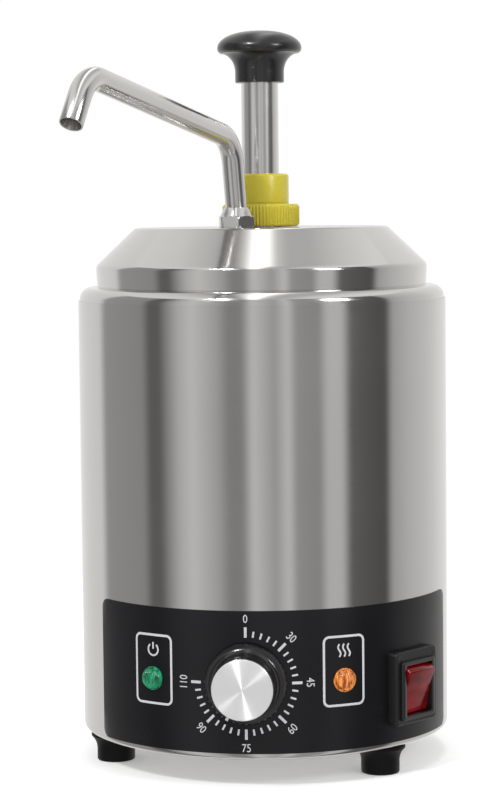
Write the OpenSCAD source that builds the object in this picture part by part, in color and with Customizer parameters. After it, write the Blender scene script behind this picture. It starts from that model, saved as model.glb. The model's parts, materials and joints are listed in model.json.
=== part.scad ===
// Hot fudge topping warmer: a heated well with a lift-out bowl, and a lid that carries a plunger pump.
// Z is up, the feet stand on z = 0 and the body's axis is the Z axis. The control panel faces -Y.
// Angles round the body are counted from -Y, positive towards +X.

/* [Body] */
// Outer diameter of the body shell
body_d = 210; // [206:1:236]
// Height of the body shell
shell_h = 245.2; // [238:0.2:270]
// Thickness of the shell and the bottom cover
sheet_t = 0.8; // [0.6:0.1:1.2]
// Width of the shell's turned-in bottom edge
hem_w = 12; // [10:0.5:14]

/* [Feet] */
// Height of a rubber foot
foot_h = 15.7; // [12:0.1:25]
// Diameter of a foot where it stands
foot_d = 21.5; // [19:0.5:26]
// Diameter of a foot where it meets the cover
foot_top_d = 28; // [27:0.5:32]
// Distance of a foot's middle in from the shell's outer face
foot_inset = 16; // [15:0.5:25]
// Angle of the front right foot round the body
foot_angle = 51.2; // [45:0.2:60]

/* [Well and bowl] */
// Height of the rim above the shell
rim_h = 7.3; // [6.6:0.1:12]
// Radius of the rim's outer corner
rim_corner_r = 6.5; // [3:0.5:6.5]
// Distance of the heated well's inner wall from the shell's outer face
well_gap = 20; // [18:0.5:23]
// Height of the heated well's floor above the shell's lower edge
well_floor_h = 67.5; // [64:0.5:80]
// Thickness of the well and the bowl
pan_t = 1; // [0.8:0.1:1.4]
// Gap between the bowl and the well's wall
bowl_side_gap = 4; // [2:0.5:8]
// Gap between the bowl and the well's floor
bowl_floor_gap = 17; // [8:1:30]

/* [Lid] */
// Distance of the lid's shoulder in from the shell's outer face
lid_inset = 10.4; // [10:0.1:13]
// Diameter of the lid's flat top
lid_top_d = 144; // [120:1:156]
// Height of the lid's skirt
lid_skirt_h = 12; // [8:0.5:18]
// Height of the lid's cone
lid_cone_h = 21.5; // [16:0.5:34]
// How far the skirt draws in at its lower edge
lid_skirt_taper = 0.7; // [0:0.1:1.5]
// Thickness of the lid
lid_t = 1; // [0.8:0.1:1.4]

/* [Pump] */
// Inner diameter of the pump cylinder
cylinder_bore_d = 26; // [25:0.5:28]
// Wall of the pump cylinder
cylinder_wall = 2; // [1.5:0.1:3]
// Gap between the pump's inlet and the bowl's floor
inlet_gap = 5; // [3:0.5:10]
// Outer diameter of the plunger tube
plunger_d = 21; // [18:0.5:22]
// Length of plunger tube that shows when the pump is up
plunger_out = 51.6; // [49:0.2:70]
// Stroke of the plunger
stroke = 45; // [30:1:46]
// Length of the return spring when the pump is up
spring_len = 66; // [64:1:80]
// Outer diameter of the return spring
spring_d = 20.6; // [18:0.2:21]
// Wire diameter of the return spring
spring_wire_d = 1.6; // [1.2:0.1:1.8]
// Turns of the return spring
spring_turns = 9; // [6:1:10]
// Diameter of the knurled lock collar
lock_d = 44; // [42:0.5:44.5]
// Height of the knurled lock collar
lock_h = 13; // [11:0.5:18]
// Number of knurls round the lock collar
knurls = 72; // [48:4:96]
// Diameter of the plunger guide above the lock collar
guide_d = 32; // [30:0.5:33]
// Height of the plunger guide above the lock collar
guide_h = 17.2; // [12:0.2:26]
// Widest diameter of the push knob
knob_d = 48.8; // [40:0.4:60]
// Diameter of the push knob's neck
knob_neck_d = 28.6; // [27:0.2:32]
// Height of the push knob's neck below its flare
knob_neck_h = 9.6; // [7:0.2:16]
// Height of the push knob's head above its neck
knob_head_h = 19.8; // [16:0.2:26]

/* [Spout] */
// Angle of the spout round the body
spout_angle = -18.6; // [-40:0.2:20]
// Distance from the pump's axis to the discharge tube
spout_offset = 33; // [32.5:0.5:38]
// Outer diameter of the spout tube
spout_d = 12.2; // [10:0.2:12.6]
// Wall of the spout tube
spout_wall = 0.8; // [0.6:0.1:1.2]
// Height of the spout's first bend above the lid
riser_h = 49.6; // [40:0.2:70]
// Lean of the riser away from the pump
riser_lean = 9.4; // [0:0.2:14]
// Length of the spout's arm between its bends
arm_len = 170; // [90:1:190]
// Rise of the arm above level
arm_rise = 9.6; // [0:0.2:20]
// Length of the spout's nose after its last bend
nose_len = 30.2; // [28:0.2:50]
// Angle of the nose from straight down
nose_angle = 33.8; // [10:0.2:50]
// Radius of the spout's bends
spout_bend_r = 20; // [16:1:22]
// Width across flats of the spout nut
spout_nut_af = 19; // [18:0.5:20]

/* [Controls] */
// Height of the black control panel
panel_h = 77.8; // [74:0.2:90]
// Left end of the control panel round the body
panel_left = -53.2; // [-60:0.2:-46]
// Right end of the control panel round the body
panel_right = 78.8; // [72:0.2:90]
// Thickness of the control panel
panel_t = 0.5; // [0.4:0.1:1]
// Height of the thermostat and lamps above the shell's lower edge
control_h = 42; // [38:0.2:44]
// Angle of the lamps to each side of the thermostat
lamp_angle = 29.6; // [24:0.2:32]
// Diameter of a lamp's lens
lamp_d = 13; // [12:0.2:15]
// Diameter of the thermostat knob's aluminium face
dial_face_d = 33; // [28:0.5:38]
// Diameter of the thermostat knob's skirt
dial_skirt_d = 44.4; // [42:0.2:46]
// How far the thermostat knob stands out from the panel
dial_out = 19.4; // [16:0.2:24]
// Angle of the switch round the body
switch_angle = 55.3; // [54:0.1:58]
// Height of the rocker's middle above the shell's lower edge
switch_h = 32; // [30:0.2:34]
// Width of the switch's raised mounting block
plinth_w = 36.7; // [34:0.1:38]
// Height of the switch's raised mounting block
plinth_tall = 40.9; // [38:0.1:44]
// Width of the rocker
rocker_w = 22; // [18:0.5:22.5]
// Height of the rocker
rocker_tall = 27.2; // [24:0.2:28]
// Turn of the rocker from off to on
rocker_swing = 30; // [20:1:30]

/* [Hidden] */
$fn = 96;

// Clearances: between pieces that are fixed together, between pieces that run, and between bodies
fit = 0.1;
run = 0.06;
free = 0.3;
// Overlap that keeps a cut clear of the face it goes through
cut = 1;

// Levels up the body
shell_z = foot_h + sheet_t;
shell_top = shell_z + shell_h;
rim_z = shell_top + rim_h;
well_floor = shell_z + well_floor_h;
bowl_floor = well_floor + bowl_floor_gap + pan_t;
shoulder_z = rim_z + lid_skirt_h;
lid_z = shoulder_z + lid_cone_h;
control_z = shell_z + control_h;
switch_z = shell_z + switch_h;
panel_z = shell_z + 3.5;

// Radii of the body
body_r = body_d / 2;
shell_in_r = body_r - sheet_t;
hem_r = body_r - hem_w;
rim_r = shell_in_r - fit;
rim_tuck = 12;
well_r = body_r - well_gap;
well_corner_r = 8;
mouth_r = 3;
bowl_r = well_r - bowl_side_gap;
bowl_in_r = bowl_r - pan_t;
lid_r = body_r - lid_inset;
lid_foot_r = lid_r - lid_skirt_taper;
bowl_lip_r = lid_foot_r - lid_t - 0.5;
lid_bend_r = 4;
panel_r = body_r + fit / 2;
face_r = panel_r + panel_t;

// Bottom cover and its fasteners
cover_r = body_r - 5;
foot_r = body_r - foot_inset;
cover_dish_r = foot_r - foot_top_d / 2 - 4;
cover_dish_h = 3;
cover_screw_r = (cover_r + hem_r) / 2;
vents = 12;
vent_w = 3.4;
vent_in_r = 26;
vent_out_r = cover_dish_r - 15;
foot_hole_r = 4.5;
foot_hole_h = 6;
foot_seat_h = 9;
m4_r = 2;
m4_nut_af = 7;
m4_nut_h = 3.2;
cover_screw_head_r = 3.6;
cover_screw_head_h = 2.2;
cover_screw_len = 7;
foot_screw_head_r = 3.9;
foot_screw_head_h = 2.4;
screw_end = 2;

// Thermostat behind the panel
bush_r = 4.9;
bush_nut_af = 14;
spindle_r = 3;
thermostat_r = 14;
thermostat_face = shell_in_r - 2;
thermostat_depth = 22;
bush_out = 4.6;
dial_nut_h = 2.8;
dial_skirt_gap = 1.4;
dial_skirt_h = 3.6;
dial_cap_t = 1.2;
dial_hub_gap = 5.8;
pointer_turn = 208;

// Lamps
lamp_neck_r = 5;
lamp_neck_len = 26;
lamp_nut_af = 14;
lamp_nut_h = 2.6;
lamp_nut_gap = 0.8;
lamp_flange_h = 1.2;
lamp_dome_h = 4.6;

// Switch
plinth_out = 4;
plinth_corner_r = 2.5;
plinth_raise = 1.4;
bezel_w = rocker_w + 7;
bezel_tall = rocker_tall + 5.4;
bezel_t = 2;
switch_body_w = rocker_w + 3.6;
switch_body_tall = rocker_tall + 2.8;
switch_depth = 24;
plinth_face = face_r + plinth_out;
bezel_face = plinth_face + bezel_t;
rocker_axis = plinth_face - 3.5;
rocker_r = rocker_tall / 2;
rocker_mid = 4.5;
rocker_vee = 4;
rocker_back = 6;
trunnion_r = 1.5;

// Heater under the well
heater_inset = 39;
heater_r = well_r - heater_inset;
heater_gap_angle = 46;
heater_end_len = 20;
heater_pin_r = 1.5;
heater_pin_len = 6;
heater_tube_r = 4;
heater_z = well_floor - pan_t - heater_tube_r - fit;
plate_z = heater_z - heater_tube_r - fit;
plate_t = 1.5;
plate_rim = 10;
plate_r = heater_r + plate_rim;
stud_circle_r = 24;
stud_r = 2.5;
stud_nut_af = 8;
plate_hole_r = 12;
plate_notch_w = 56;
plate_notch_in = 16;
plate_notch_y = heater_r - plate_notch_in;
bulb_r = 3;
bulb_len = 60;
bulb_inset = 19;
bulb_y = bulb_inset - well_r;
bulb_tube_r = 1;
bulb_tube_joint_r = 1.2;
clip_wing = 7;
clip_t = 1;
clip_w = 8;
cutout_gap = 10;
cutout_x = -stud_circle_r - cutout_gap;
cutout_r = 7.5;
cutout_h = 8;
cutout_ears = 24;
tab_len = 7;
tab_w = 6;
tab_t = 0.8;
bulb_z = well_floor - pan_t - bulb_r - fit;

// Mains inlet at the back
gland_angle = 150;
gland_z = shell_z + 24;
gland_r = 8;
gland_bore_r = 5.5;
cord_r = 4;
gland_inside = 14;
gland_flange_h = 5;
gland_cap_h = 14;
bracket_angle = 105;
bracket_z = shell_z + 10;
bracket_w = 44;
bracket_deep = 26;
bracket_t = 1.2;
bracket_flange_h = 12;
bracket_flange_deep = 6;
block_x = -4;
block_w = 28;
block_h = 14;
block_deep = 16;
block_pitch = 9;
gland_af = 22;

// Pump
neck_r = cylinder_bore_d / 2 + 4;
bore_r = cylinder_bore_d / 2;
cylinder_r = bore_r + cylinder_wall;
pump_flange_r = neck_r + 4;
pump_flange_t = 3;
gasket_t = 1.5;
flange_z = lid_z - lid_t - gasket_t;
guide_r = guide_d / 2;
guide_flange_t = 2;
lip_t = 1.9;
lock_r = lock_d / 2;
lock_z = lid_z + free;
lock_top = lid_z + lock_h;
neck_top = lock_top - lip_t - fit - guide_flange_t;
guide_top = lock_top + guide_h;
knurl_depth = 0.6;
plunger_r = plunger_d / 2;
plunger_wall = 1.2;
knob_z = guide_top + plunger_out;
knob_socket_h = 12;
seal_w = 3;
valve_z = bowl_floor + inlet_gap;
seat_z = valve_z + 4.2;
chamber_h = 12;
valve_top = seat_z + chamber_h;
valve_lip_h = 6;
valve_r = cylinder_r + 2;
chamber_r = bore_r - 2;
seat_r = 4;
inlet_ball_r = 5.5;
outlet_ball_r = 5.6;
passage_r = 4;
passage_z = seat_z + 6;
outlet_seat_z = passage_z + passage_r;
outlet_room_h = 12;
outlet_room_r = 7;
outlet_top = outlet_seat_z + outlet_room_h;
outlet_socket_h = 6;
spout_r = spout_d / 2;
spout_in_r = spout_r - spout_wall;
boss_r = spout_r + 3.4;
piston_z = seat_z + spring_len;
piston_h = 20;
piston_r = bore_r - 0.4;
seal_h = 5;

// Spout joint on the lid
socket_wall = 1.4;
socket_r = spout_r + fit + socket_wall;
socket_flange_r = spout_offset - pump_flange_r - 1;
socket_flange_t = 2;
socket_h = 5.3;
spout_nut_h = 6.5;
spout_cone_h = 4.8;
spout_foot_h = 10.8;

// Turns of the spout and the straight runs between them, in its own upright plane
function hundredths(x) = round(100 * x) / 100;
spout_start = lid_z + free + fit + 0.4;
spout_turns = [riser_lean, 90 - riser_lean - arm_rise, 90 + arm_rise - nose_angle];
spout_back = [for (t = spout_turns) spout_bend_r * tan(t / 2)];
spout_runs = [
    hundredths(lid_z + spout_foot_h - spout_start - spout_back[0]),
    hundredths((riser_h - spout_foot_h) / cos(riser_lean) - spout_back[0] - spout_back[1]),
    hundredths(arm_len - spout_back[1] - spout_back[2]),
    hundredths(nose_len - spout_back[2])
];

function unit(v) = v / norm(v);
function left(v) = [-v[1], v[0]];
function turn_side(u, w) = u[0] * w[1] - u[1] * w[0] > 0 ? 1 : -1;
function turn_angle(u, w) = acos(max(-1, min(1, u * w)));

// Middle of the bend of radius r at corner b, on the inner side of the turn
function bend_middle(a, b, c, r) =
    let (u = unit(b - a), w = unit(c - b))
    b + unit(w - u) * r / cos(turn_angle(u, w) / 2);

// Points of the bend at corner b on the line moved sideways by shift, to the left where positive
function bend_points(a, b, c, r, shift, steps) =
    let (
        u = unit(b - a),
        w = unit(c - b),
        side = turn_side(u, w),
        whole = turn_angle(u, w),
        middle = bend_middle(a, b, c, r),
        first = -side * left(u),
        start = atan2(first[1], first[0]),
        reach = r - side * shift
    )
    [for (i = [0:steps]) let (t = start + side * whole * i / steps) middle + reach * [cos(t), sin(t)]];

// A line with its corners rounded, moved sideways by shift
function bent_line(points, radii, shift, steps) =
    let (last = len(points) - 1)
    concat(
        [points[0] + shift * left(unit(points[1] - points[0]))],
        [for (i = [1:last - 1])
            each bend_points(points[i - 1], points[i], points[i + 1], radii[i - 1], shift, steps)],
        [points[last] + shift * left(unit(points[last] - points[last - 1]))]
    );

function reversed(list) = [for (i = [len(list) - 1:-1:0]) list[i]];

// Section of a pressed sheet: the face that follows the points, and its other face at the sheet's thickness
module sheet_section(points, radii, thickness, steps = 6)
    polygon(concat(bent_line(points, radii, 0, steps), reversed(bent_line(points, radii, thickness, steps))));

// Children drawn with +Z outwards stand on the body at this angle and height
module on_body(angle, height)
    rotate([0, 0, angle]) translate([0, 0, height]) rotate([90, 0, 0]) children();

// Flat drawing in distance from the axis and height, turned to this angle round the body
module upright(angle)
    rotate([0, 0, angle - 90]) rotate([90, 0, 0]) children();

module rounded_plate(width, height, corner)
{
    square([width - 2 * corner, height], center = true);
    square([width, height - 2 * corner], center = true);
    for (x = [-1, 1], y = [-1, 1])
        translate([x * (width / 2 - corner), y * (height / 2 - corner)]) circle(corner, $fn = 32);
}

module ring(outer, inner, height)
    difference() {
        cylinder(height, outer, outer);
        translate([0, 0, -cut]) cylinder(height + 2 * cut, inner, inner);
    }

// Hexagonal nut or head, width across flats
module hexagon(flats, height)
    rotate([0, 0, 30]) cylinder(height, flats / sqrt(3), flats / sqrt(3), $fn = 6);

module nut(flats, hole, height)
    difference() {
        hexagon(flats, height);
        translate([0, 0, -cut]) cylinder(height + 2 * cut, hole, hole, $fn = 32);
    }

function rest(list) = [for (i = [1:1:len(list) - 1]) list[i]];

// A round bar along +X that turns towards +Y after each run; each piece stands in the frame of the one before
module bent_bar(runs, turns, bend_r, r)
{
    rotate([0, 90, 0]) cylinder(runs[0], r, r, $fn = 48);
    if (len(turns) > 0)
        translate([runs[0], bend_r, 0]) {
            rotate([0, 0, -90]) rotate_extrude(angle = turns[0]) translate([bend_r, 0]) circle(r, $fn = 48);
            rotate([0, 0, turns[0]]) translate([0, -bend_r, 0])
                bent_bar(rest(runs), rest(turns), bend_r, r);
        }
}

// Places round the body
module at_feet()
    for (k = [0:2]) rotate([0, 0, foot_angle + 120 * k]) translate([0, -foot_r, 0]) children();

module at_cover_screws()
    for (k = [0:2]) rotate([0, 0, foot_angle + 60 + 120 * k]) translate([0, -cover_screw_r, 0]) children();

module at_studs()
    for (k = [0:2]) rotate([0, 0, 120 * k]) translate([0, -stud_circle_r, 0]) children();

// Body shell: rolled sheet with a turned-in lower edge, cut for the controls and the cord inlet
module outer_shell() color("silver")
    difference() {
        rotate_extrude($fn = 180)
            sheet_section(
                [[hem_r, shell_z], [body_r, shell_z], [body_r, shell_top]], [3], sheet_t);
        for (side = [-1, 1])
            on_body(side * lamp_angle, control_z)
                translate([0, 0, shell_in_r - 4]) cylinder(8, lamp_neck_r + fit, lamp_neck_r + fit);
        on_body(0, control_z)
            translate([0, 0, shell_in_r - 4]) cylinder(8, bush_r + fit, bush_r + fit);
        on_body(switch_angle, switch_z)
            translate([0, 0, shell_in_r - 4]) linear_extrude(8)
                square([switch_body_w + 2 * fit, switch_body_tall + 2 * fit], center = true);
        on_body(gland_angle, gland_z)
            translate([0, 0, shell_in_r - 4]) cylinder(8, gland_r + fit, gland_r + fit);
        at_cover_screws() translate([0, 0, shell_z - cut]) cylinder(sheet_t + 2 * cut, m4_r, m4_r, $fn = 32);
    }

// Heated well: one deep-drawn pan whose top makes the body's rounded rim
module heating_well() color("lightgrey")
{
    rotate_extrude($fn = 180)
        sheet_section(
            [[0, well_floor], [well_r, well_floor], [well_r, rim_z], [rim_r, rim_z],
             [rim_r, shell_top - rim_tuck]],
            [well_corner_r, mouth_r, rim_corner_r], -pan_t);
    at_studs()
        translate([0, 0, plate_z - plate_t - m4_nut_h - 2])
            cylinder(well_floor - pan_t / 2 - plate_z + plate_t + m4_nut_h + 2, stud_r, stud_r, $fn = 32);
}

// Bottom cover: a shallow dished plate with vent slots round its middle
module bottom_cover() color("lightgrey")
    difference() {
        rotate_extrude()
            sheet_section(
                [[0, shell_z + cover_dish_h], [cover_dish_r - cover_dish_h, shell_z + cover_dish_h],
                 [cover_dish_r, shell_z], [cover_r, shell_z]],
                [2, 2], -sheet_t);
        for (k = [0:vents - 1]) rotate([0, 0, 360 * (k + 0.5) / vents]) {
            translate([vent_in_r, -vent_w / 2, foot_h - cut])
                cube([vent_out_r - vent_in_r, vent_w, cover_dish_h + sheet_t + 2 * cut]);
            for (r = [vent_in_r, vent_out_r])
                translate([r, 0, foot_h - cut])
                    cylinder(cover_dish_h + sheet_t + 2 * cut, vent_w / 2, vent_w / 2, $fn = 24);
        }
        at_feet() translate([0, 0, foot_h - cut]) cylinder(3 + cut, m4_r + fit, m4_r + fit, $fn = 32);
        at_cover_screws()
            translate([0, 0, foot_h - cut]) cylinder(3 + cut, m4_r + fit, m4_r + fit, $fn = 32);
    }

module pan_screw(head_r, head_h, shank_r, shank_len)
{
    cylinder(shank_len, shank_r, shank_r, $fn = 32);
    difference() {
        translate([0, 0, -head_h]) cylinder(head_h, head_r * 0.86, head_r, $fn = 32);
        translate([0, 0, -head_h - cut]) linear_extrude(cut + head_h * 0.5) {
            square([head_r * 1.3, head_r * 0.3], center = true);
            square([head_r * 0.3, head_r * 1.3], center = true);
        }
    }
}

module cover_screws() color("dimgrey")
    at_cover_screws() translate([0, 0, foot_h - fit / 2])
        pan_screw(cover_screw_head_r, cover_screw_head_h, m4_r - fit, cover_screw_len);

// Rubber foot: a bell with a stepped recess for its screw
module foot(k) color([0.1, 0.1, 0.1])
    rotate([0, 0, foot_angle + 120 * k]) translate([0, -foot_r, 0]) {
        base = foot_d / 2;
        top = foot_top_d / 2;
        rotate_extrude() difference() {
            polygon(concat(
                [[m4_r + fit, 0], [base - 1, 0], [base - 0.3, 0.3], [base, 1]],
                [for (i = [0:8]) let (t = i / 8) [base + (top - base) * pow(t, 2.4), foot_h * (0.4 + 0.5 * t)]],
                [[top, foot_h], [m4_r + fit, foot_h]]));
            square([foot_hole_r, foot_hole_h]);
            square([foot_hole_r - 0.3, foot_seat_h]);
        }
    }

module foot_screws() color("dimgrey")
    at_feet() translate([0, 0, foot_seat_h])
        pan_screw(foot_screw_head_r, foot_screw_head_h, m4_r,
            foot_h - foot_seat_h + sheet_t + m4_nut_h + screw_end);

module foot_nuts() color("dimgrey")
    at_feet() translate([0, 0, shell_z]) nut(m4_nut_af, m4_r + run, m4_nut_h);

// Black panel wrapped on the shell, with rounded corners
module control_panel() color([0.1, 0.1, 0.12])
{
    corner = 5;
    corner_turn = (corner - 0.02) / panel_r * 180 / PI;
    difference() {
        rotate([0, 0, panel_left - 90])
            rotate_extrude(angle = panel_right - panel_left, $fn = 180)
                translate([panel_r, panel_z]) square([panel_t, panel_h]);
        for (x = [-1, 1], y = [-1, 1])
            on_body(x < 0 ? panel_left + corner_turn : panel_right - corner_turn,
                    panel_z + panel_h / 2 + y * (panel_h / 2 - corner + 0.02))
                translate([0, 0, panel_r - 3]) linear_extrude(8) difference() {
                    translate([x * 4, y * 4]) square(8, center = true);
                    circle(corner, $fn = 48);
                }
        for (side = [-1, 1])
            on_body(side * lamp_angle, control_z)
                translate([0, 0, panel_r - 4]) cylinder(8, lamp_neck_r + fit, lamp_neck_r + fit);
        on_body(0, control_z) translate([0, 0, panel_r - 4]) cylinder(8, bush_r + fit, bush_r + fit);
        on_body(switch_angle, switch_z)
            translate([0, 0, panel_r - 4]) linear_extrude(8)
                square([switch_body_w + 2 * fit, switch_body_tall + 2 * fit], center = true);
    }
}

// Thermostat: round switch body with a threaded bush that passes through the shell and the panel
module thermostat_body() color("tan")
    on_body(0, control_z) difference() {
        union() {
            translate([0, 0, thermostat_face - thermostat_depth])
                cylinder(thermostat_depth, thermostat_r, thermostat_r);
            cylinder_bush(thermostat_face, bush_r + 2, shell_in_r - thermostat_face - fit);
            cylinder_bush(thermostat_face, bush_r, face_r + bush_out - thermostat_face);
            for (side = [-1, 1])
                translate([side * 8 - 3, thermostat_r - 9, thermostat_face - thermostat_depth - 7])
                    cube([6, 0.8, 8]);
        }
        translate([0, 0, thermostat_face - 10]) cylinder(40, spindle_r + run, spindle_r + run);
    }

module cylinder_bush(from, r, len)
    translate([0, 0, from]) cylinder(len, r, r);

module thermostat_nut() color("silver")
    on_body(0, control_z) translate([0, 0, face_r]) nut(bush_nut_af, bush_r + run, dial_nut_h);

// Sensing bulb under the well and the fine tube that joins it to the thermostat
module capillary_bulb() color("chocolate")
{
    translate([-bulb_len / 2, bulb_y, bulb_z]) rotate([0, 90, 0]) cylinder(bulb_len, bulb_r, bulb_r, $fn = 32);
    back = -(thermostat_face - thermostat_depth);
    out = bulb_len / 2;
    stops = [
        [9, back + fit, control_z], [9, back + 5, control_z], [out + 8, back + 5, bulb_z],
        [out + 8, bulb_y, bulb_z], [out - 1, bulb_y, bulb_z]
    ];
    for (i = [0:len(stops) - 2]) {
        step = stops[i + 1] - stops[i];
        translate(stops[i])
            rotate([0, acos(step[2] / norm(step)), atan2(step[1], step[0])])
                cylinder(norm(step), bulb_tube_r, bulb_tube_r, $fn = 24);
        if (i > 0) translate(stops[i]) sphere(bulb_tube_joint_r, $fn = 24);
    }
}

// Saddle strap that holds the bulb up against the well's floor
module bulb_clip() color("silver")
    for (side = [-1, 1])
        translate([side * bulb_len / 4 - clip_w / 2, bulb_y, bulb_z]) {
            rotate([90, 0, 90]) difference() {
                linear_extrude(clip_w) difference() {
                    union() {
                        circle(bulb_r + clip_t, $fn = 48);
                        translate([-bulb_r - clip_t, 0]) square([2 * (bulb_r + clip_t), bulb_r + fit]);
                        translate([-bulb_r - clip_wing, bulb_r + fit - clip_t]) square([2 * (bulb_r + clip_wing), clip_t]);
                    }
                    circle(bulb_r + fit, $fn = 48);
                    translate([-bulb_r - fit, 0]) square([2 * bulb_r + 2 * fit, bulb_r + 2]);
                }
            }
        }

// Tubular heating ring with its two cold ends turned down
module heating_element() color("darkslategrey")
{
    rotate([0, 0, 90 + heater_gap_angle / 2]) translate([0, 0, heater_z])
        rotate_extrude(angle = 360 - heater_gap_angle) translate([heater_r, 0]) circle(heater_tube_r, $fn = 48);
    for (side = [-1, 1])
        rotate([0, 0, 90 + side * heater_gap_angle / 2]) translate([heater_r, 0, heater_z]) {
            sphere(heater_tube_r, $fn = 48);
            translate([0, 0, -heater_end_len])
                cylinder(heater_end_len, heater_tube_r, heater_tube_r, $fn = 48);
            translate([0, 0, -heater_end_len - heater_pin_len])
                cylinder(heater_pin_len + cut, heater_pin_r, heater_pin_r, $fn = 24);
        }
}

// Plate that presses the heating ring to the well, notched for the ring's ends
module heater_plate() color("silver")
    difference() {
        translate([0, 0, plate_z - plate_t]) ring(plate_r, plate_hole_r, plate_t);
        translate([-plate_notch_w / 2, plate_notch_y, plate_z - plate_t - cut])
            cube([plate_notch_w, plate_r, plate_t + 2 * cut]);
        at_studs() translate([0, 0, plate_z - plate_t - cut])
            cylinder(plate_t + 2 * cut, stud_r + fit, stud_r + fit, $fn = 32);
    }

module heater_nuts() color("dimgrey")
    at_studs() translate([0, 0, plate_z - plate_t - m4_nut_h]) nut(stud_nut_af, stud_r + run, m4_nut_h);

// Safety cut-out: a small disc thermostat with two ears and two tabs
module thermal_cutout() color("black")
    translate([cutout_x, 0, plate_z - plate_t]) {
        translate([0, 0, -cutout_h]) cylinder(cutout_h, cutout_r, cutout_r);
        translate([0, 0, -1]) linear_extrude(1) rounded_plate(cutout_r + 0.5, cutout_ears, 3.5);
        for (side = [-1, 1])
            translate([side * 4 - tab_t / 2, -tab_w / 2, -cutout_h - tab_len])
                cube([tab_t, tab_w, tab_len + cut]);
    }

// Ribbed lens of an indicator lamp: a flange and a low dome
module lamp_lens(side)
    on_body(side * lamp_angle, control_z) translate([0, 0, face_r + fit]) rotate_extrude()
        polygon(concat(
            [[0, 0], [lamp_d / 2, 0], [lamp_d / 2, lamp_flange_h]],
            [for (i = [0:6]) let (t = 15 * i)
                [(lamp_d / 2 - 0.6) * cos(t), lamp_flange_h + lamp_dome_h * sin(t)]]));

module power_lamp_lens() color("seagreen") lamp_lens(-1);
module heating_lamp_lens() color("darkorange") lamp_lens(1);

module lamp_body(side) color([0.15, 0.15, 0.15])
    on_body(side * lamp_angle, control_z) {
        translate([0, 0, face_r - lamp_neck_len]) cylinder(lamp_neck_len, lamp_neck_r, lamp_neck_r, $fn = 48);
        for (x = [-1, 1])
            translate([x * 2.5 - 0.4, -1.4, face_r - lamp_neck_len - 7]) cube([0.8, 2.8, 8]);
    }

module power_lamp_body() lamp_body(-1);
module heating_lamp_body() lamp_body(1);

module lamp_nuts() color("dimgrey")
    for (side = [-1, 1])
        on_body(side * lamp_angle, control_z)
            translate([0, 0, shell_in_r - lamp_nut_gap - lamp_nut_h])
                nut(lamp_nut_af, lamp_neck_r + fit, lamp_nut_h);

// Flat-faced block that fits the round body and carries the switch
module switch_plinth() color([0.1, 0.1, 0.1])
    difference() {
        on_body(switch_angle, switch_z)
            translate([0, plinth_raise, face_r - 6]) linear_extrude(6 + plinth_out)
                rounded_plate(plinth_w, plinth_tall, plinth_corner_r);
        cylinder(rim_z, face_r + fit / 2, face_r + fit / 2, $fn = 180);
        on_body(switch_angle, switch_z)
            translate([0, 0, face_r - 10]) linear_extrude(30)
                square([switch_body_w + 2 * fit, switch_body_tall + 2 * fit], center = true);
    }

// Switch housing: a hollow block behind a bezel, with bearings for the rocker's trunnions
module switch_housing() color([0.08, 0.08, 0.08])
    on_body(switch_angle, switch_z) difference() {
        union() {
            translate([0, 0, plinth_face]) linear_extrude(bezel_t)
                rounded_plate(bezel_w, bezel_tall, 1.5);
            translate([0, 0, plinth_face - switch_depth]) linear_extrude(switch_depth + 1)
                square([switch_body_w, switch_body_tall], center = true);
        }
        translate([0, 0, rocker_axis - rocker_r - 0.6]) linear_extrude(30)
            square([rocker_w + 2 * free, rocker_tall + 2 * free], center = true);
        translate([-rocker_w / 2 - 1.2, 0, rocker_axis]) rotate([0, 90, 0])
            cylinder(rocker_w + 2.4, trunnion_r + run, trunnion_r + run, $fn = 32);
    }

module switch_terminals() color("gold")
    on_body(switch_angle, switch_z)
        for (x = [-1, 1], y = [-1, 1])
            translate([x * 5 - 0.4, y * 6 - 3, plinth_face - switch_depth - 8]) cube([0.8, 6, 8]);

// Rocker: two faces that meet at the middle in a shallow vee, on a round back; the lower one is pressed in
module rocker() color([0.8, 0.05, 0.08, 0.8])
    on_body(switch_angle, switch_z) translate([0, 0, rocker_axis])
        rotate([90, 0, 90]) translate([0, 0, -rocker_w / 2]) {
            far = rocker_r + 2;
            linear_extrude(rocker_w) intersection() {
                circle(rocker_r);
                polygon([
                    [-far, rocker_mid - far * tan(rocker_swing / 2 - rocker_vee)],
                    [0, rocker_mid],
                    [far, rocker_mid + far * tan(rocker_swing / 2 + rocker_vee)],
                    [far, -rocker_back], [-far, -rocker_back]]);
            }
            translate([0, 0, -1]) cylinder(rocker_w + 2, trunnion_r, trunnion_r, $fn = 32);
        }

// Angle bracket inside the shell for the mains terminals
module terminal_bracket() color("silver")
    intersection() {
        on_body(bracket_angle, bracket_z) {
            translate([-bracket_w / 2, 0, shell_in_r - bracket_deep - 4])
                cube([bracket_w, bracket_t, bracket_deep + 4]);
            translate([-bracket_w / 2, 0, shell_in_r - bracket_flange_deep])
                cube([bracket_w, bracket_flange_h, bracket_flange_deep]);
        }
        difference() {
            cylinder(rim_z, shell_in_r - fit, shell_in_r - fit, $fn = 180);
            translate([0, 0, bracket_z + bracket_t]) cylinder(rim_z, shell_in_r - fit - bracket_t,
                shell_in_r - fit - bracket_t, $fn = 180);
        }
    }

module terminal_block() color("ivory")
    on_body(bracket_angle, bracket_z + bracket_t)
        translate([0, 0, shell_in_r - bracket_deep]) difference() {
            translate([block_x - block_w / 2, 0, 0]) cube([block_w, block_h, block_deep]);
            for (k = [-1:1]) translate([block_x + block_pitch * k - 0.5, 0, 0]) {
                translate([0, block_h - 6, -cut]) cylinder(block_deep + 4, 2, 2, $fn = 24);
                translate([0, block_h - 4, block_deep / 2]) rotate([-90, 0, 0])
                    cylinder(10, 2.2, 2.2, $fn = 24);
            }
        }

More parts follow.
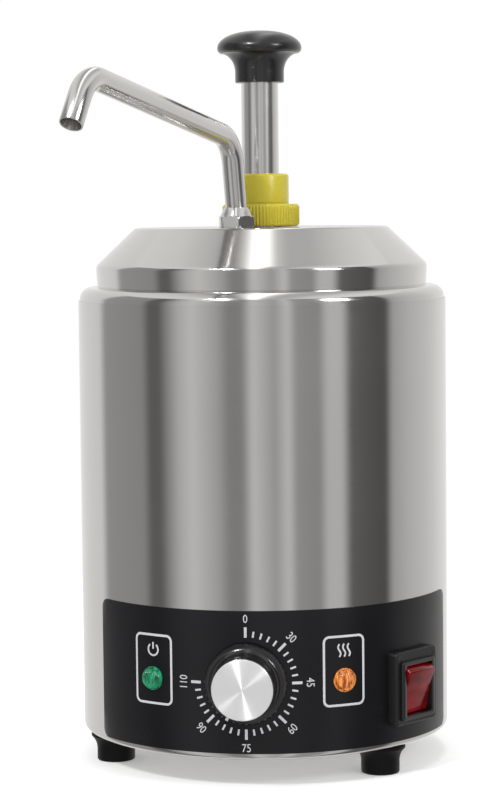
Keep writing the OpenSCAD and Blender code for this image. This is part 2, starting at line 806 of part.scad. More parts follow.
module earth_stud() color("goldenrod")
    on_body(bracket_angle, bracket_z + bracket_t)
        translate([16, 0, shell_in_r - bracket_deep + 6]) rotate([-90, 0, 0]) {
            cylinder(10, m4_r, m4_r, $fn = 32);
            hexagon(m4_nut_af, m4_nut_h);
        }

// Cord inlet: a flanged body through the shell, an inner nut and an outer cap
module gland_body() color([0.12, 0.12, 0.12])
    on_body(gland_angle, gland_z) difference() {
        union() {
            translate([0, 0, shell_in_r - gland_inside])
                cylinder(gland_inside + sheet_t + gland_flange_h, gland_r, gland_r);
            translate([0, 0, body_r + 0.4]) hexagon(gland_af, gland_flange_h - 0.4);
        }
        translate([0, 0, shell_in_r - gland_inside - cut])
            cylinder(gland_inside + 20, gland_bore_r, gland_bore_r);
    }

module gland_nut() color([0.12, 0.12, 0.12])
    on_body(gland_angle, gland_z) translate([0, 0, shell_in_r - 5.4]) nut(gland_af, gland_r + fit, 4.4);

module gland_cap() color([0.12, 0.12, 0.12])
    on_body(gland_angle, gland_z) translate([0, 0, body_r + gland_flange_h]) difference() {
        rotate_extrude() polygon([
            [cord_r, 0], [gland_r + 1.6, 0], [gland_r + 1.6, 7], [gland_r - 1, 12], [cord_r + 1.6, gland_cap_h],
            [cord_r, gland_cap_h]]);
        for (k = [0:5]) rotate([0, 0, 60 * k]) translate([gland_r + 1.8, 0, -cut])
            cylinder(8, 1, 1, $fn = 24);
    }

// Lift-out bowl with a flat lip that rests on the rim
module food_bowl() color("gainsboro")
    rotate_extrude($fn = 180)
        sheet_section(
            [[0, bowl_floor], [bowl_in_r, bowl_floor], [bowl_in_r, rim_z + pan_t],
             [bowl_lip_r, rim_z + pan_t]],
            [well_corner_r + 4, mouth_r], -pan_t);

// Lid: an upright skirt, a cone and a flat top with two holes for the pump
module lid() color("silver")
    difference() {
        rotate_extrude($fn = 180)
            sheet_section(
                [[lid_foot_r, rim_z], [lid_r, shoulder_z], [lid_top_d / 2, lid_z], [neck_r + free, lid_z]],
                [lid_bend_r, lid_bend_r], lid_t);
        rotate([0, 0, spout_angle]) translate([0, -spout_offset, lid_z - lid_t - cut])
            cylinder(lid_t + 2 * cut, socket_r + fit, socket_r + fit);
    }

// Pump cylinder: long tube with a flange under the lid and a neck above it
module pump_cylinder() color("lightgrey")
    difference() {
        union() {
            translate([0, 0, valve_top]) cylinder(flange_z - valve_top, cylinder_r, cylinder_r);
            translate([0, 0, flange_z - pump_flange_t]) cylinder(pump_flange_t, pump_flange_r, pump_flange_r);
            translate([0, 0, flange_z - cut]) cylinder(neck_top - flange_z + cut, neck_r, neck_r);
        }
        translate([0, 0, valve_top - cut]) cylinder(neck_top - valve_top + 2 * cut, bore_r, bore_r);
    }

module pump_gasket() color("whitesmoke")
    translate([0, 0, flange_z]) ring(pump_flange_r, neck_r + free, gasket_t);

// Guide that the plunger slides in: spigot in the neck, flange under the lock collar, collar above it
module plunger_guide() color([0.8, 0.74, 0.25])
    difference() {
        rotate_extrude() polygon([
            [0, neck_top - 8], [bore_r - 0.05, neck_top - 8], [bore_r - 0.05, neck_top],
            [neck_r - 0.2, neck_top], [neck_r - 0.2, neck_top + guide_flange_t],
            [guide_r, neck_top + guide_flange_t], [guide_r, guide_top - 1.2], [guide_r - 1.4, guide_top],
            [0, guide_top]]);
        translate([0, 0, neck_top - 10]) cylinder(guide_top, plunger_r + run, plunger_r + run);
        translate([0, 0, guide_top - 7]) cylinder(3, plunger_r + 2, plunger_r + 2);
    }

module wiper_seal() color("white")
    translate([0, 0, guide_top - 7 + 0.1]) ring(plunger_r + 1.9, plunger_r + run, 2.8);

// Knurled lock collar: a union nut whose lip holds the guide down on the neck
module lock_collar() color([0.8, 0.74, 0.25])
    difference() {
        union() {
            translate([0, 0, lock_z + 1]) linear_extrude(lock_h - free - 2)
                polygon([for (i = [0:2 * knurls - 1])
                    let (t = 180 * i / knurls, r = lock_r - (i % 2) * knurl_depth) r * [cos(t), sin(t)]]);
            rotate_extrude() polygon([
                [0, lock_z], [lock_r - 1.5, lock_z], [lock_r - knurl_depth, lock_z + 1],
                [lock_r - knurl_depth, lock_top - 1], [lock_r - 1.5, lock_top], [0, lock_top]]);
        }
        translate([0, 0, lock_z - cut]) cylinder(lock_top - lip_t - lock_z + cut, neck_r + run, neck_r + run);
        translate([0, 0, lock_z]) cylinder(lock_h + cut, guide_r + run, guide_r + run);
    }

// Valve block: inlet seat, chamber and a passage across to the outlet seat and the discharge tube
module valve_body() color("silver")
    difference() {
        union() {
            translate([0, 0, valve_z]) cylinder(valve_top + valve_lip_h - valve_z, valve_r, valve_r);
            upright(spout_angle) translate([0, valve_z, -8])
                cube([spout_offset, outlet_seat_z - valve_z + 2, 16]);
            rotate([0, 0, spout_angle]) translate([0, -spout_offset, valve_z])
                cylinder(outlet_top + outlet_socket_h - valve_z, boss_r, boss_r);
        }
        translate([0, 0, valve_z - cut]) cylinder(20, seat_r, seat_r);
        translate([0, 0, valve_z - cut]) cylinder(cut + 2, seat_r + 4, seat_r);
        translate([0, 0, seat_z]) cylinder(chamber_h + cut, chamber_r, chamber_r);
        translate([0, 0, valve_top]) cylinder(valve_lip_h + cut, cylinder_r + fit, cylinder_r + fit);
        upright(spout_angle) translate([0, passage_z, 0]) rotate([0, 90, 0])
            cylinder(spout_offset, passage_r, passage_r);
        rotate([0, 0, spout_angle]) translate([0, -spout_offset, 0]) {
            translate([0, 0, passage_z - passage_r]) cylinder(20, passage_r, passage_r);
            translate([0, 0, outlet_seat_z]) cylinder(outlet_room_h, outlet_room_r, outlet_room_r);
            translate([0, 0, outlet_seat_z]) cylinder(80, spout_r + fit, spout_r + fit);
        }
    }

// Height of a ball's middle above the edge of the hole that it rests on
function perch(ball, hole) = sqrt(ball * ball - hole * hole) + run;

module inlet_ball() color("grey")
    translate([0, 0, seat_z + perch(inlet_ball_r, seat_r)]) sphere(inlet_ball_r);

module outlet_ball() color("grey")
    rotate([0, 0, spout_angle]) translate([0, -spout_offset, outlet_seat_z + perch(outlet_ball_r, passage_r)])
        sphere(outlet_ball_r);

module discharge_tube() color("silver")
    rotate([0, 0, spout_angle]) translate([0, -spout_offset, outlet_top])
        ring(spout_r, spout_in_r, lid_z + 0.1 - outlet_top);

// Threaded socket through the lid that joins the discharge tube to the spout
module spout_socket() color("silver")
    rotate([0, 0, spout_angle]) translate([0, -spout_offset, 0]) difference() {
        union() {
            translate([0, 0, lid_z - lid_t - socket_flange_t])
                cylinder(socket_flange_t, socket_flange_r, socket_flange_r);
            translate([0, 0, lid_z - lid_t - cut]) cylinder(lid_t + cut + socket_h, socket_r, socket_r);
        }
        translate([0, 0, lid_z - 10]) cylinder(20, spout_r + fit, spout_r + fit);
    }

// Union nut at the foot of the spout, with a coned top
module spout_nut() color("silver")
    rotate([0, 0, spout_angle]) translate([0, -spout_offset, lid_z]) difference() {
        union() {
            intersection() {
                rotate([0, 0, 30]) hexagon(spout_nut_af, spout_nut_h);
                cylinder(spout_nut_h, spout_nut_af / 2 + 1.6 + spout_nut_h, spout_nut_af / 2 + 1.1);
            }
            translate([0, 0, spout_nut_h - fit]) cylinder(spout_cone_h + fit, spout_nut_af / 2 - 0.4, spout_r + 0.5);
        }
        translate([0, 0, -cut]) cylinder(40, spout_r + fit, spout_r + fit);
        translate([0, 0, -cut]) cylinder(socket_h + fit + cut, socket_r + fit, socket_r + fit);
    }

// Spout: one tube bent three times in its own upright plane
module spout_tube() color("silver")
    upright(spout_angle) translate([spout_offset, spout_start, 0]) rotate([180, 0, 90]) difference() {
        bent_bar(spout_runs, spout_turns, spout_bend_r, spout_r);
        translate([-cut, 0, 0]) bent_bar(
            [spout_runs[0] + cut, spout_runs[1], spout_runs[2], spout_runs[3] + cut],
            spout_turns, spout_bend_r, spout_in_r);
    }

// Return spring: rings of six points along a helix, joined into one closed coil
module return_spring() color("grey")
{
    sides = 6;
    per_turn = 14;
    steps = spring_turns * per_turn;
    mean = (spring_d - spring_wire_d) / 2;
    low = seat_z + spring_wire_d / 2 + 0.05;
    rise = spring_len - spring_wire_d - 0.1;
    points = [for (i = [0:steps], j = [0:sides - 1])
        let (
            t = 360 * i / per_turn,
            s = 360 * j / sides,
            r = mean + spring_wire_d / 2 * cos(s)
        )
        [r * cos(t), r * sin(t), low + rise * i / steps + spring_wire_d / 2 * sin(s)]];
    walls = [for (i = [0:steps - 1], j = [0:sides - 1])
        let (a = i * sides + j, b = i * sides + (j + 1) % sides)
        each [[a, a + sides, b], [b, a + sides, b + sides]]];
    ends = [
        [for (j = [0:sides - 1]) j],
        [for (j = [sides - 1:-1:0]) steps * sides + j]
    ];
    polyhedron(points, concat(walls, ends));
}

// Push knob: domed head, concave flare and a neck that takes the plunger tube
module plunger_knob() color([0.09, 0.09, 0.1])
{
    neck = knob_neck_d / 2;
    wide = knob_d / 2;
    flare_z = knob_z + knob_neck_h;
    edge_z = flare_z + knob_head_h * 0.42;
    top_z = flare_z + knob_head_h;
    difference() {
        rotate_extrude() polygon(concat(
            [[0, knob_z], [neck - 0.6, knob_z], [neck, knob_z + 0.6]],
            [for (i = [0:8]) let (t = 90 * i / 8)
                [neck + (wide - 1.4 - neck) * (1 - cos(t)), flare_z + (edge_z - 2.6 - flare_z) * sin(t)]],
            [for (i = [0:6]) let (t = -60 + 120 * i / 6) [wide - 1.2 + 1.2 * cos(t), edge_z + 2.2 * sin(t)]],
            [for (i = [1:10]) let (t = 90 * i / 10)
                [(wide - 0.6) * pow(cos(t), 0.8), edge_z + 1.9 + (top_z - edge_z - 1.9) * sin(t)]]));
        translate([0, 0, knob_z - cut]) cylinder(knob_socket_h + cut, plunger_r + fit, plunger_r + fit);
    }
}

module plunger_tube() color("silver")
    translate([0, 0, piston_z + piston_h])
        ring(plunger_r, plunger_r - plunger_wall, knob_z + knob_socket_h - fit - piston_z - piston_h);

module piston() color("whitesmoke")
    difference() {
        union() {
            translate([0, 0, piston_z]) cylinder(piston_h, piston_r, piston_r);
            translate([0, 0, piston_z + piston_h - cut])
                cylinder(8 + cut, plunger_r - plunger_wall - fit, plunger_r - plunger_wall - fit);
        }
        translate([0, 0, piston_z + seal_h]) ring(bore_r, bore_r - seal_w, seal_h);
    }

module piston_seal() color("black")
    translate([0, 0, piston_z + seal_h + 0.1]) ring(bore_r - run, bore_r - seal_w + 0.1, seal_h - 0.2);

// Thermostat knob: flared skirt and straight body, hollow behind, with a hub on the spindle
module dial_knob() color([0.07, 0.07, 0.08])
    on_body(0, control_z) translate([0, 0, face_r]) {
        skirt = dial_skirt_d / 2;
        grip = dial_face_d / 2 + 0.6;
        top = dial_out - dial_cap_t - fit;
        difference() {
            rotate_extrude() polygon(concat(
                [[0, dial_skirt_gap], [skirt - 0.6, dial_skirt_gap], [skirt, dial_skirt_gap + 0.7],
                 [skirt - 0.3, dial_skirt_gap + 1.4]],
                [for (i = [0:6]) let (t = 15 * i)
                    [grip + (skirt - 0.8 - grip) * (1 - sin(t)), dial_skirt_h + 4.6 * (1 - cos(t))]],
                [[grip - 0.3, top - 0.5], [grip - 0.8, top], [0, top]]));
            difference() {
                translate([0, 0, -cut]) cylinder(top - 2 + cut, grip - 2, grip - 2);
                translate([0, 0, dial_hub_gap]) cylinder(top, spindle_r + 3, spindle_r + 3);
            }
            translate([0, 0, -cut]) cylinder(top - 1 + cut, spindle_r + run, spindle_r + run);
            rotate([0, 0, -pointer_turn]) translate([-0.8, grip + 0.4, dial_skirt_gap + 1.6])
                cube([1.6, skirt - grip - 2.2, 6]);
        }
    }

module dial_cap() color("gainsboro")
    on_body(0, control_z) translate([0, 0, face_r + dial_out - dial_cap_t]) rotate_extrude() {
        r = dial_face_d / 2;
        polygon([[0, 0], [r, 0], [r, dial_cap_t - 0.4], [r - 0.5, dial_cap_t], [0, dial_cap_t]]);
    }

// White pointer inlaid in the knob's skirt
module dial_pointer() color("white")
    on_body(0, control_z) translate([0, 0, face_r]) intersection() {
        rotate([0, 0, -pointer_turn])
            translate([-0.7, dial_face_d / 2 + 0.6 + 0.5, dial_skirt_gap + 1.7])
                cube([1.4, (dial_skirt_d - dial_face_d) / 2 - 0.6 - 2.4, 6]);
        skirt = dial_skirt_d / 2;
        grip = dial_face_d / 2 + 0.6;
        rotate_extrude() polygon(concat(
            [[0, dial_skirt_gap], [skirt, dial_skirt_gap + 0.7], [skirt - 0.3, dial_skirt_gap + 1.5]],
            [for (i = [0:6]) let (t = 15 * i)
                [grip + (skirt - 0.8 - grip) * (1 - sin(t)), dial_skirt_h + 0.1 + 4.6 * (1 - cos(t))]],
            [[0, dial_out]]));
    }

module dial_spindle() color("silver")
    on_body(0, control_z) translate([0, 0, thermostat_face - 8])
        cylinder(face_r + dial_out - 4 - thermostat_face + 8, spindle_r, spindle_r, $fn = 48);

outer_shell();
heating_well();
bottom_cover();
cover_screws();
foot(0);  // foot_front_right
foot(1);  // foot_rear
foot(2);  // foot_front_left
foot_screws();
foot_nuts();
control_panel();
thermostat_body();
thermostat_nut();
capillary_bulb();
bulb_clip();
heating_element();
heater_plate();
heater_nuts();
thermal_cutout();
power_lamp_lens();
power_lamp_body();
heating_lamp_lens();
heating_lamp_body();
lamp_nuts();
switch_plinth();
switch_housing();
switch_terminals();
terminal_bracket();
terminal_block();
earth_stud();
gland_body();
gland_nut();
gland_cap();
food_bowl();
lid();
pump_cylinder();
pump_gasket();
plunger_guide();
wiper_seal();
valve_body();
discharge_tube();
spout_socket();
spout_nut();
spout_tube();
return_spring();
plunger_knob();
plunger_tube();
piston();
piston_seal();
lock_collar();
inlet_ball();
outlet_ball();
dial_knob();
dial_cap();
dial_pointer();
dial_spindle();
rocker();
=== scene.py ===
"""Topping warmer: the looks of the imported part. Lengths in the tables below are millimetres."""

import json
import math

import bmesh
import bpy
import numpy as np
from mathutils import Matrix, Vector


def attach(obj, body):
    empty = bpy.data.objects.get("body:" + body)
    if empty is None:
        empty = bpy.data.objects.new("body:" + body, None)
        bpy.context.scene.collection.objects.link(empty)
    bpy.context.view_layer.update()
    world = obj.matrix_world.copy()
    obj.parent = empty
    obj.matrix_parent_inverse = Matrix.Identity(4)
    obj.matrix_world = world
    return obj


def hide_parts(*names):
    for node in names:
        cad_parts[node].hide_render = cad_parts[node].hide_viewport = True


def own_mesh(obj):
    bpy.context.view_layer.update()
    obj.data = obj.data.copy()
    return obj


MM = 0.001
BODY_R = 105.0
PANEL_R = 105.55
CONTROL_Z = 58.5
LAMP_ANGLE = 29.6
SWITCH_ANGLE = 55.3
SWITCH_Z = 48.5
SPOUT_ANGLE = -18.6
SPOUT_OUT = 33.0
NUMERAL_R = 35.2
FOOT_ANGLE = 51.2
SCREW_CIRCLE = 96.5
DIAL_REST = 208
RIM_Z = 269.0
LID_Z = 302.5

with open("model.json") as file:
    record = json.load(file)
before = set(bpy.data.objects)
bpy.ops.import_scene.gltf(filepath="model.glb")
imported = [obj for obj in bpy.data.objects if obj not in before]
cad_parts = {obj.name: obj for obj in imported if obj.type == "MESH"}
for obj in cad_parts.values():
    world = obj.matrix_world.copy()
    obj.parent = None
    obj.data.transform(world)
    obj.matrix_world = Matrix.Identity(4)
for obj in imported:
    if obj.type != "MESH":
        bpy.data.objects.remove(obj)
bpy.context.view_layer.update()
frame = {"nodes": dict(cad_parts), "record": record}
NODES = frame["nodes"]


# Shapes: grids of points worked out with numpy


def surface(name, grid, body, material, slot=None, swap=(), around=True, loop=False, sharp=38):
    """A mesh from rows of points: row i, point j joins row i + 1 and point j + 1.
    around closes each row on itself, loop joins the last row to the first."""
    grid = np.asarray(grid, float) * MM
    rows, across = grid.shape[:2]
    i = np.arange(rows if loop else rows - 1)
    j = np.arange(across if around else across - 1)
    ii, jj = np.meshgrid(i, j, indexing="ij")
    up, over = (ii + 1) % rows, (jj + 1) % across
    quads = np.stack([ii * across + jj, ii * across + over, up * across + over, up * across + jj], -1)
    return finish_mesh(name, grid.reshape(-1, 3), quads.reshape(-1, 4), body, material, slot, swap, sharp)


def finish_mesh(name, points, faces, body, material, slot, swap, sharp):
    """Merges doubled points, turns faces outwards, shades smooth up to the sharp angle and rides the body."""
    mesh = bpy.data.meshes.new(name)
    mesh.from_pydata(points.tolist(), [], faces.tolist())
    work = bmesh.new()
    work.from_mesh(mesh)
    bmesh.ops.remove_doubles(work, verts=work.verts, dist=2e-7)
    bmesh.ops.dissolve_degenerate(work, edges=work.edges, dist=1e-8)
    bmesh.ops.recalc_face_normals(work, faces=work.faces)
    work.to_mesh(mesh)
    work.free()
    mesh.shade_smooth()
    mesh.set_sharp_from_angle(angle=math.radians(sharp))
    piece = bpy.data.objects.new(name, mesh)
    bpy.context.scene.collection.objects.link(piece)
    mesh.materials.append(material)
    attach(piece, body)
    if swap:
        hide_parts(*swap)
    return piece


def rounded(points, radii, steps=8, shift=0.0):
    """A line with its inner corners rounded, moved shift to its left: each corner becomes an arc of radius r,
    whose middle lies r / cos(turn / 2) from the corner on the inner side."""
    p = np.asarray(points, float)
    out = []
    d = np.diff(p, axis=0)
    d /= np.linalg.norm(d, axis=1)[:, None]
    left = np.stack([-d[:, 1], d[:, 0]], 1)
    out.append(p[:1] + shift * left[:1])
    for k, r in enumerate(radii):
        u, w = d[k], d[k + 1]
        side = 1.0 if u[0] * w[1] - u[1] * w[0] > 0 else -1.0
        turn = math.acos(np.clip(u @ w, -1, 1))
        middle = p[k + 1] + (w - u) / np.linalg.norm(w - u) * r / math.cos(turn / 2)
        first = -side * left[k]
        angle = math.atan2(first[1], first[0]) + side * turn * np.linspace(0, 1, steps + 1)
        out.append(middle + (r - side * shift) * np.stack([np.cos(angle), np.sin(angle)], 1))
    out.append(p[-1:] + shift * left[-1:])
    return np.concatenate(out)


def sheet_loop(points, radii, thickness, steps=8):
    """Closed section of a pressed sheet: one face forwards, the other back."""
    near = rounded(points, radii, steps)
    far = rounded(points, radii, steps, thickness)[::-1]
    return np.concatenate([near, far])


def turned(profile, angles=None, segments=256, wobble=None):
    """Points (r cos a, r sin a, z) for each (r, z) of the profile and each angle a."""
    a = np.linspace(0, 2 * np.pi, segments, endpoint=False) if angles is None else angles
    profile = np.asarray(profile, float)
    r = profile[:, :1] + (0 * a if wobble is None else wobble(a)) * (profile[:, :1] > 60)
    return np.stack([r * np.cos(a), r * np.sin(a), np.broadcast_to(profile[:, 1:], r.shape)], -1)


def place(points, angle, height, out=0.0):
    """Local right, up and outward lengths, set on the body at this angle from the front and this height."""
    a = math.radians(angle)
    right = np.array([math.cos(a), math.sin(a), 0])
    outward = np.array([math.sin(a), -math.cos(a), 0])
    points = np.asarray(points, float)
    return (points[..., :1] * right + points[..., 1:2] * np.array([0, 0, 1.0])
            + (points[..., 2:] + out) * outward + np.array([0, 0, height]))


def wrap(points):
    """Flat print (along the panel, height, lift) laid round the panel: angle is length over radius."""
    points = np.asarray(points, float)
    a = points[..., 0] / PANEL_R
    r = PANEL_R + points[..., 2]
    return np.stack([r * np.sin(a), -r * np.cos(a), points[..., 1]], -1)


def box_outline(width, height, corner, per_corner=8, middle=(0, 0)):
    """Closed rounded rectangle: four quarter circles of the corner radius joined by straight sides."""
    t = np.linspace(0, np.pi / 2, per_corner + 1)
    out = []
    for k, (sx, sy) in enumerate(((1, 1), (-1, 1), (-1, -1), (1, -1))):
        a = t + k * np.pi / 2
        c = np.array([sx * (width / 2 - corner), sy * (height / 2 - corner)])
        out.append(c + corner * np.stack([np.cos(a), np.sin(a)], 1))
    return np.concatenate(out) + np.asarray(middle, float)


def ease(outline, amount):
    """The outline drawn in by the amount towards its own middle, along each axis."""
    half = (outline.max(0) - outline.min(0)) / 2
    centre = (outline.max(0) + outline.min(0)) / 2
    return centre + (outline - centre) * (half - amount) / half


def stack(rows):
    """Rows of (outline, height) as a grid, each outline's points at its own height."""
    return np.stack([np.concatenate([o, np.full((len(o), 1), z)], 1) for o, z in rows])


def along(value, start, stop):
    """Share of the way from start to stop, smoothed: 3 t^2 - 2 t^3."""
    t = np.clip((value - start) / (stop - start), 0, 1)
    return t * t * (3 - 2 * t)


# Finishes


def node_group(name, inputs, outputs):
    group = bpy.data.node_groups.new(name, "ShaderNodeTree")
    for label, value in inputs:
        socket = group.interface.new_socket(label, in_out="INPUT", socket_type="NodeSocketFloat")
        socket.default_value = value
    for label in outputs:
        group.interface.new_socket(label, in_out="OUTPUT", socket_type="NodeSocketFloat")
    return group, group.nodes.new("NodeGroupInput"), group.nodes.new("NodeGroupOutput")


def connect(tree, *pairs):
    for a, b in pairs:
        tree.links.new(a, b)


def math_node(tree, operation, a, b=None):
    n = tree.nodes.new("ShaderNodeMath")
    n.operation = operation
    for socket, value in zip(n.inputs, (a, b)):
        if value is None:
            continue
        if isinstance(value, (int, float)):
            socket.default_value = value
        else:
            tree.links.new(value, socket)
    return n.outputs[0]


def noise(tree, vector, scale, detail=3.0, rough=0.5):
    n = tree.nodes.new("ShaderNodeTexNoise")
    n.inputs["Scale"].default_value = scale
    n.inputs["Detail"].default_value = detail
    n.inputs["Roughness"].default_value = rough
    tree.links.new(vector, n.inputs["Vector"])
    return n.outputs["Fac"]


def stretched(tree, vector, scale):
    n = tree.nodes.new("ShaderNodeMapping")
    n.inputs["Scale"].default_value = scale
    tree.links.new(vector, n.inputs["Vector"])
    return n.outputs["Vector"]


def make_brush_lines():
    """Brushing round the Z axis: fine noise stretched along each ring, as height and as a shift of gloss."""
    group, enter, leave = node_group("brush_lines", (("Gloss shift", 0.05),), ("Height", "Gloss"))
    where = group.nodes.new("ShaderNodeTexCoord").outputs["Object"]
    fine = noise(group, stretched(group, where, (9, 9, 2600)), 1.0, 2.0)
    broad = noise(group, stretched(group, where, (5, 5, 260)), 1.0, 3.0)
    both = math_node(group, "ADD", math_node(group, "MULTIPLY", fine, 0.6),
                     math_node(group, "MULTIPLY", broad, 0.4))
    shift = math_node(group, "MULTIPLY", math_node(group, "SUBTRACT", both, 0.5),
                      enter.outputs["Gloss shift"])
    connect(group, (both, leave.inputs["Height"]), (shift, leave.inputs["Gloss"]))
    return group


def make_handling():
    """Wipe marks and finger smears: slow noise cut to its peaks, with a finer break-up, from 0 to 1."""
    group, enter, leave = node_group("handling", (("Size", 14.0), ("Cover", 0.5)), ("Smear", "Grime"))
    where = group.nodes.new("ShaderNodeTexCoord").outputs["Object"]
    slow = group.nodes.new("ShaderNodeTexNoise")
    connect(group, (where, slow.inputs["Vector"]), (enter.outputs["Size"], slow.inputs["Scale"]))
    slow.inputs["Detail"].default_value = 5.0
    fine = noise(group, where, 160.0, 3.0)
    peak = math_node(group, "SUBTRACT", slow.outputs["Fac"], enter.outputs["Cover"])
    peak = math_node(group, "MAXIMUM", math_node(group, "MULTIPLY", peak, 4.0), 0.0)
    smear = math_node(group, "MULTIPLY", math_node(group, "MINIMUM", peak, 1.0), fine)
    connect(group, (smear, leave.inputs["Smear"]), (slow.outputs["Fac"], leave.inputs["Grime"]))
    return group


def make_moulded():
    """Moulded skin: a fine pebble of two noises as height, and its slow part as a shift of gloss."""
    group, enter, leave = node_group("moulded_skin", (("Grain", 900.0), ("Gloss shift", 0.08)),
                                     ("Height", "Gloss"))
    where = group.nodes.new("ShaderNodeTexCoord").outputs["Object"]
    pebble = group.nodes.new("ShaderNodeTexNoise")
    connect(group, (where, pebble.inputs["Vector"]), (enter.outputs["Grain"], pebble.inputs["Scale"]))
    pebble.inputs["Detail"].default_value = 2.0
    slow = noise(group, where, 45.0, 4.0)
    shift = math_node(group, "MULTIPLY", math_node(group, "SUBTRACT", slow, 0.5),
                      enter.outputs["Gloss shift"])
    connect(group, (pebble.outputs["Fac"], leave.inputs["Height"]), (shift, leave.inputs["Gloss"]))
    return group


BRUSH_LINES = make_brush_lines()
HANDLING = make_handling()
MOULDED = make_moulded()


def shader(name, color, metallic=0.0, roughness=0.4, **sockets):
    """A Principled material; sockets are its other plain values, with _ for the blanks in their names."""
    material = bpy.data.materials.new(name)
    material.use_nodes = True
    tree = material.node_tree
    bsdf = tree.nodes["Principled BSDF"]
    bsdf.inputs["Base Color"].default_value = (*color, 1)
    bsdf.inputs["Metallic"].default_value = metallic
    bsdf.inputs["Roughness"].default_value = roughness
    for label, value in sockets.items():
        bsdf.inputs[label.replace("_", " ")].default_value = value
    return material, tree, bsdf


def use_group(tree, group, **values):
    n = tree.nodes.new("ShaderNodeGroup")
    n.node_tree = group
    for label, value in values.items():
        n.inputs[label.replace("_", " ")].default_value = value
    return n


def bump(tree, bsdf, height, strength, distance):
    n = tree.nodes.new("ShaderNodeBump")
    n.inputs["Strength"].default_value = strength
    n.inputs["Distance"].default_value = distance
    connect(tree, (height, n.inputs["Height"]), (n.outputs["Normal"], bsdf.inputs["Normal"]))


def tint(tree, bsdf, mask, low, high):
    """Base colour runs from low to high with the mask."""
    n = tree.nodes.new("ShaderNodeMix")
    n.data_type = "RGBA"
    n.inputs[6].default_value = (*low, 1)
    n.inputs[7].default_value = (*high, 1)
    connect(tree, (mask, n.inputs[0]), (n.outputs[2], bsdf.inputs["Base Color"]))


def steel(name, color, roughness, smear=0.1, lines=0.0, anisotropic=0.0, dull=0.85, size=14.0):
    """Stainless steel: brushed rings, wipe marks that dull it, and a faint change of colour with them."""
    material, tree, bsdf = shader(name, color, 1.0, roughness, Anisotropic=anisotropic)
    marks = use_group(tree, HANDLING, Size=size)
    gloss = math_node(tree, "ADD", math_node(tree, "MULTIPLY", marks.outputs["Smear"], smear), roughness)
    if lines:
        brush = use_group(tree, BRUSH_LINES, Gloss_shift=0.12)
        gloss = math_node(tree, "ADD", gloss, brush.outputs["Gloss"])
        bump(tree, bsdf, brush.outputs["Height"], lines, 0.00002)
    if anisotropic:
        tangent = tree.nodes.new("ShaderNodeTangent")
        tangent.direction_type = "RADIAL"
        tangent.axis = "Z"
        bsdf.inputs["Anisotropic Rotation"].default_value = 0.25
        connect(tree, (tangent.outputs[0], bsdf.inputs["Tangent"]))
    connect(tree, (gloss, bsdf.inputs["Roughness"]))
    tint(tree, bsdf, marks.outputs["Grime"], tuple(c * dull for c in color), color)
    return material


def plastic(name, color, roughness, grain=900.0, depth=0.15, coat=0.0, spread=0.5, **sockets):
    """Moulded plastic or rubber: pebbled skin, uneven gloss and a colour that lifts where it is handled."""
    material, tree, bsdf = shader(name, color, 0.0, roughness, Coat_Weight=coat, Coat_Roughness=0.08,
                                  **sockets)
    skin = use_group(tree, MOULDED, Grain=grain)
    marks = use_group(tree, HANDLING, Size=30.0)
    gloss = math_node(tree, "ADD", math_node(tree, "ADD", skin.outputs["Gloss"], roughness),
                      math_node(tree, "MULTIPLY", marks.outputs["Smear"], 0.12))
    connect(tree, (gloss, bsdf.inputs["Roughness"]))
    bump(tree, bsdf, skin.outputs["Height"], depth, 0.0001)
    tint(tree, bsdf, marks.outputs["Grime"], tuple(c * (1 - spread / 2) for c in color),
         tuple(min(1, c * (1 + spread / 2)) for c in color))
    return material


def lamp_plastic(name, dark, bright, glow, strength, sparkle_fineness=(620, 620, 170), shine=0.5):
    """Clear coloured plastic over a lit bulb: colour and glow run in bright flecks of the given fineness,
    which are painted highlights standing in for the sparkle of light in the lens.
    """
    material, tree, bsdf = shader(name, dark, 0.0, 0.16, Coat_Weight=0.3 * shine, Coat_Roughness=0.06,
                                  Specular_IOR_Level=shine, Emission_Strength=strength)
    where = tree.nodes.new("ShaderNodeTexCoord").outputs["Object"]
    # painted highlights: the bright flecks in the base colour and in the glow stand in for the lens's sparkle
    painted_sparkle = noise(tree, stretched(tree, where, sparkle_fineness), 1.0, 2.0, 0.6)
    cut = tree.nodes.new("ShaderNodeMapRange")
    cut.inputs["From Min"].default_value = 0.38
    cut.inputs["From Max"].default_value = 0.66
    connect(tree, (painted_sparkle, cut.inputs["Value"]))
    tint(tree, bsdf, cut.outputs["Result"], dark, bright)
    # the glow is brighter in the same painted highlight flecks
    light = tree.nodes.new("ShaderNodeMix")
    light.data_type = "RGBA"
    light.inputs[6].default_value = (*(0.25 * g for g in glow), 1)
    light.inputs[7].default_value = (*glow, 1)
    connect(tree, (cut.outputs["Result"], light.inputs[0]), (light.outputs[2], bsdf.inputs["Emission Color"]))
    return material


SHELL_STEEL = steel("shell_steel", (0.64, 0.632, 0.62), 0.13, smear=0.10, lines=0.2, anisotropic=0.6,
                    dull=0.93)
PRESSED_STEEL = steel("pressed_steel", (0.66, 0.65, 0.635), 0.12, smear=0.10, lines=0.05, anisotropic=0.35,
                      dull=0.93)
BRIGHT_STEEL = steel("bright_steel", (0.67, 0.66, 0.645), 0.18, smear=0.05, dull=0.92, size=40.0)
STEM_STEEL = steel("stem_steel", (0.74, 0.73, 0.72), 0.2, smear=0.08, lines=0.1, dull=0.92, size=40.0)
PAN_STEEL = steel("pan_steel", (0.63, 0.62, 0.61), 0.26, smear=0.14, lines=0.2, dull=0.88)
ZINC = steel("zinc_plate", (0.52, 0.53, 0.55), 0.34, smear=0.2, dull=0.75, size=90.0)
ALUMINIUM = steel("cast_aluminium", (0.70, 0.70, 0.71), 0.35, smear=0.15, dull=0.85, size=60.0)
BRASS = steel("turned_brass", (0.72, 0.54, 0.24), 0.24, smear=0.2, dull=0.8, size=90.0)
COPPER = steel("drawn_copper", (0.72, 0.40, 0.25), 0.26, smear=0.2, dull=0.75, size=90.0)
SHEATH = steel("heater_sheath", (0.16, 0.15, 0.14), 0.5, smear=0.2, dull=0.6, size=60.0)
